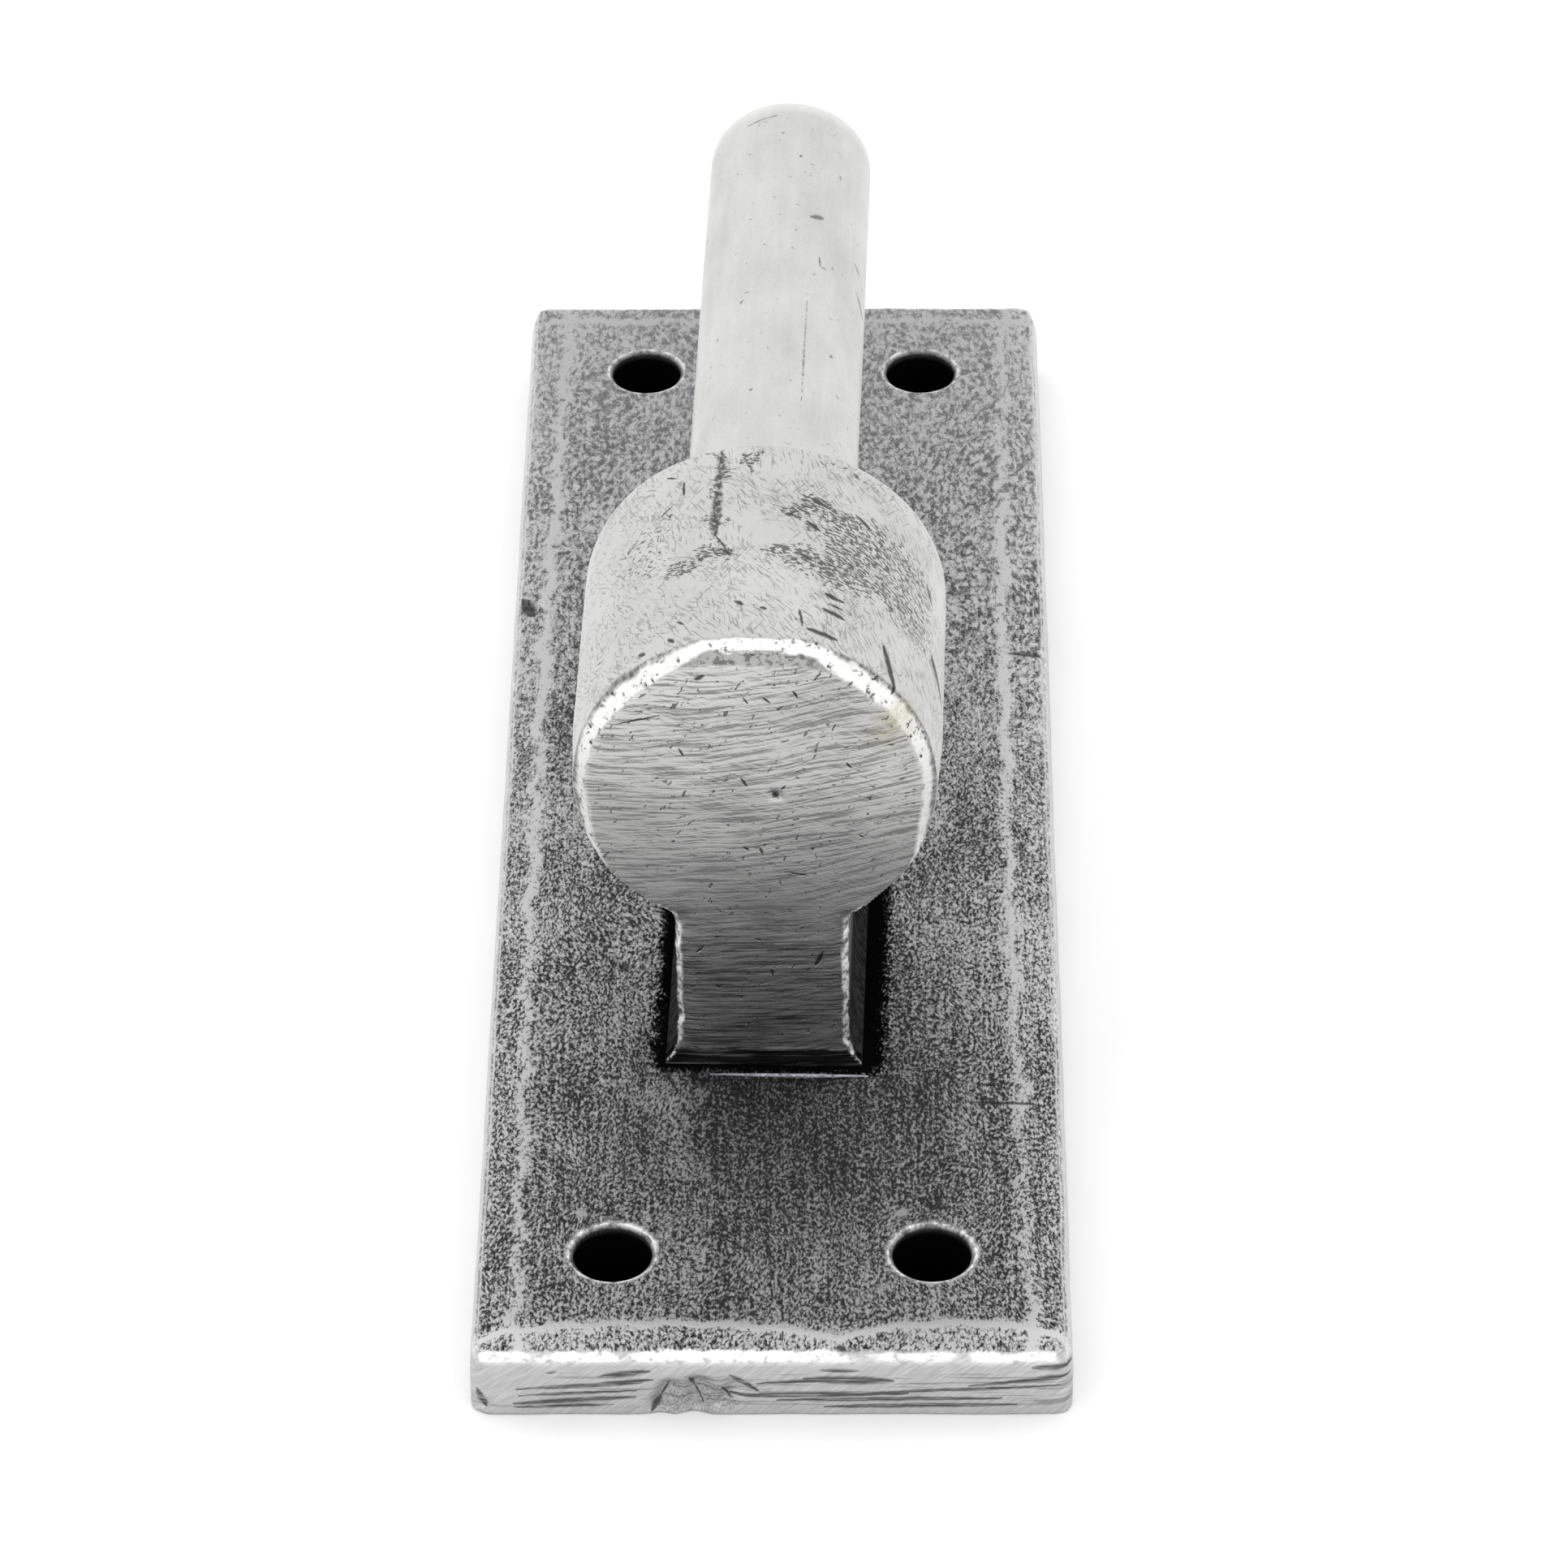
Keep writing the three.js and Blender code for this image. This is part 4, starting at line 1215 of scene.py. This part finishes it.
# Nicks in the pin, in the hook's frame: start, end and width
PIN_NICKS = (
    ((2, 48.6, 29.8), (2.9, 49, 29.5), 0.42), ((5.2, 43.6, 26.9), (5.9, 42, 25.3), 0.34),
    ((5.1, 46.6, 27.2), (5.6, 46, 26.4), 0.2), ((-3.1, 61.2, 29.3), (-0.9, 61.5, 30.1), 0.2),
    ((-1.7, 26.6, 30), (-1.5, 26.8, 30), 0.2), ((3.8, 32.4, 28.8), (4, 32.7, 28.7), 0.2),
    ((2, 22, 29.9), (2.05, 44, 29.9), 0.13), ((2.7, 43.9, 29.5), (2.8, 42.8, 29.5), 0.12),
    ((2.8, 42.8, 29.5), (3.3, 42.7, 29.2), 0.12), ((0.9, 56, 30.1), (1.1, 56.3, 30.1), 0.16),
    ((-2.8, 38, 29.5), (-2.6, 38.2, 29.6), 0.14),
)


def pin_finish(settings):
    """Satin drawn steel, with faint lines along it and a few nicks."""
    steel = Finish("satin pin steel", HOOK_ORIGIN, HOOK_TURN)
    drawn = steel.grain((1.6, 0.05, 1.6), detail=2.0, shift=3.0)
    clouds = steel.grain((0.30, 0.14, 0.30), detail=4.0, roughness=0.6, shift=8.0)
    fine = steel.grain((5.0, 2.5, 5.0), detail=2.0, shift=12.0)
    tone = 0.97 + (drawn - 0.5) * 0.1
    tone = tone + (clouds - 0.5) * 0.34
    tone = tone + (fine - 0.5) * 0.14
    specks = steel.grain((2.0, 1.6, 2.0), detail=2.0, shift=21.0)
    speck = specks.between(0.69, 0.73)
    marks = steel.strokes(PIN_NICKS, steel.ragged(0.2, 2.6))
    marks = steel.most(marks, speck * 0.6)
    tone = tone * (1 - marks * 0.62)
    edge = steel.kept("worn")
    tone = steel.blend(edge, tone, 1.25)
    base = steel.tint(tone, BLACK, rgba(settings.steel))
    base.node.clamp_factor = False
    gloss = clouds.between(0.3, 0.7, 0.44, 0.36)
    relief = drawn * 0.35 + fine * 0.25
    relief = relief - marks * 0.9
    return steel.shade(base, gloss, relief, 0.018)


def make_pin(settings):
    """The pin, with chamfered ends and a hand-drawn unevenness."""
    length_of = settings.depth + PIN_REACH
    pin = cylinder("round_pin", PIN_RADIUS, 0, length_of, 128)
    with editing(pin, "EDGE"):
        pick(pin, "edges", lambda edge: abs(edge.verts[0].co.z - edge.verts[1].co.z) < 0.01 * MM)
        bpy.ops.mesh.bevel(offset=settings.chamfer, segments=3, profile=0.5)
    with editing(pin):
        pick(pin, "faces", lambda face: abs(face.normal.z) > 0.99)
        for _ in range(3):
            bpy.ops.mesh.inset(thickness=1.4 * MM)
    rings = 66
    cut_across(pin, 2, [length_of * (step + 0.5) / rings for step in range(1, rings - 1)])
    places = places_of(pin)
    sink = 0.05 * hollows(places * (1, 1, 0.5), 5.0, 61) + 0.02 * hollows(places, 1.6, 62)
    out = np.hypot(places[:, 0], places[:, 1])
    shrink = 1 - sink * ease(out, 4.5, 5.6) / np.maximum(out, 1e-6)
    places[:, 0] *= shrink
    places[:, 1] *= shrink
    tip = length_of / MM
    dip = 0.05 * hollows(places, 2.5, 63) * ease(places[:, 2], tip - 0.1, tip)
    places[:, 2] -= dip
    move_to(pin, places)
    store(pin, "worn", ease(out, 5.2, 5.6) * ease(places[:, 2], tip - 0.6, tip - 0.35))
    inner_end = HOOK_LENGTH / 2 - settings.depth
    lie = Matrix.Translation((0, inner_end, PIN_HEIGHT)) @ Matrix.Rotation(math.radians(-90), 4, "X")
    settle(pin, to_hook_frame() @ lie)
    bpy.ops.object.shade_smooth_by_angle(angle=math.radians(35))
    pin.data.materials.append(pin_finish(settings))
    return pin


# The stage

def make_floor(settings):
    """A wide pale floor under the plate's back."""
    bpy.ops.mesh.primitive_plane_add(size=6.0, location=(0, 0, cad_low.z))
    floor = bpy.context.object
    floor.name = "floor"
    paint = bpy.data.materials.new("pale floor")
    paint.use_nodes = True
    shader = paint.node_tree.nodes["Principled BSDF"]
    shader.inputs["Base Color"].default_value = rgba(settings.floor)
    shader.inputs["Roughness"].default_value = 0.9
    shader.inputs["Specular IOR Level"].default_value = 0.1
    floor.data.materials.append(paint)


def make_light(name, place, aim, size, power):
    """A soft square light that faces its aim."""
    bpy.ops.object.light_add(type="AREA", location=place)
    light = bpy.context.object
    light.name = name
    light.data.size = size
    light.data.energy = power
    light.rotation_mode = "QUATERNION"
    light.rotation_quaternion = (Vector(aim) - Vector(place)).to_track_quat("-Z", "Y")


def make_sky(settings):
    """White surroundings of even brightness."""
    world = bpy.context.scene.world or bpy.data.worlds.new("studio")
    bpy.context.scene.world = world
    world.use_nodes = True
    sky = world.node_tree.nodes["Background"]
    sky.inputs["Color"].default_value = (1, 1, 1, 1)
    sky.inputs["Strength"].default_value = settings.sky


def make_camera(settings):
    """The camera, looking down the plate from its near end."""
    bpy.ops.object.camera_add(location=settings.eye)
    camera = bpy.context.object
    camera.name = "camera"
    turn = Matrix.Rotation(-settings.yaw, 4, "Z") @ Matrix.Rotation(math.radians(90) - settings.pitch, 4, "X")
    camera.matrix_world = Matrix.Translation(settings.eye) @ turn @ Matrix.Rotation(settings.roll, 4, "Z")
    camera.data.sensor_width = 36
    camera.data.lens = settings.lens
    camera.data.clip_start = 0.01
    bpy.context.scene.camera = camera


# The add-on's operators and panel

def put_in_frame(piece, node):
    """Lets a finished piece stand for its CAD node."""
    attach(piece, "root")
    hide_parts(node)


class PINTLE_OT_plate(bpy.types.Operator):
    """Forge the back plate"""

    bl_idname = "pintle.plate"
    bl_label = "Forge Back Plate"

    def execute(self, context):
        scene = context.scene
        put_in_frame(make_plate(scene.pintle_plate, scene.pintle_hook), "back_plate")
        return {"FINISHED"}


class PINTLE_OT_hook(bpy.types.Operator):
    """Forge and grind the hook"""

    bl_idname = "pintle.hook"
    bl_label = "Forge Hook"

    def execute(self, context):
        scene = context.scene
        put_in_frame(make_hook(scene.pintle_hook, scene.pintle_pin), "hook_body")
        return {"FINISHED"}


class PINTLE_OT_pin(bpy.types.Operator):
    """Turn the round pin"""

    bl_idname = "pintle.pin"
    bl_label = "Turn Pin"

    def execute(self, context):
        put_in_frame(make_pin(context.scene.pintle_pin), "pin")
        return {"FINISHED"}


class PINTLE_OT_stage(bpy.types.Operator):
    """Lay the floor and set the lights and the camera"""

    bl_idname = "pintle.stage"
    bl_label = "Set Stage"

    def execute(self, context):
        settings = context.scene.pintle_stage
        make_floor(settings)
        make_sky(settings)
        make_light("key_light", (-0.5, 0.15, 0.7), (0, 0, 0.02), 0.5, settings.key)
        make_camera(settings)
        context.scene.view_settings.view_transform = "Standard"
        return {"FINISHED"}


class PINTLE_PT_panel(bpy.types.Panel):
    """The pintle's pieces, with their sizes and colours"""

    bl_label = "Hinge Pintle"
    bl_idname = "PINTLE_PT_panel"
    bl_space_type = "VIEW_3D"
    bl_region_type = "UI"
    bl_category = "Pintle"

    def draw(self, context):
        for operator, group in PANEL_ROWS:
            box = self.layout.box()
            box.operator(operator)
            settings = getattr(context.scene, group)
            for name in settings.__annotations__:
                box.prop(settings, name)


GROUPS = {
    "pintle_plate": PlateSettings,
    "pintle_hook": HookSettings,
    "pintle_pin": PinSettings,
    "pintle_stage": StageSettings,
}
PANEL_ROWS = (
    ("pintle.stage", "pintle_stage"),
    ("pintle.plate", "pintle_plate"),
    ("pintle.hook", "pintle_hook"),
    ("pintle.pin", "pintle_pin"),
)
CLASSES = (*GROUPS.values(), PINTLE_OT_plate, PINTLE_OT_hook, PINTLE_OT_pin, PINTLE_OT_stage, PINTLE_PT_panel)


def register():
    for each in CLASSES:
        bpy.utils.register_class(each)
    for name, group in GROUPS.items():
        setattr(bpy.types.Scene, name, PointerProperty(type=group))


def unregister():
    for name in GROUPS:
        delattr(bpy.types.Scene, name)
    for each in reversed(CLASSES):
        bpy.utils.unregister_class(each)


def main():
    register()
    bpy.ops.pintle.stage()
    bpy.ops.pintle.plate()
    bpy.ops.pintle.hook()
    bpy.ops.pintle.pin()


if __name__ == "__main__":
    main()
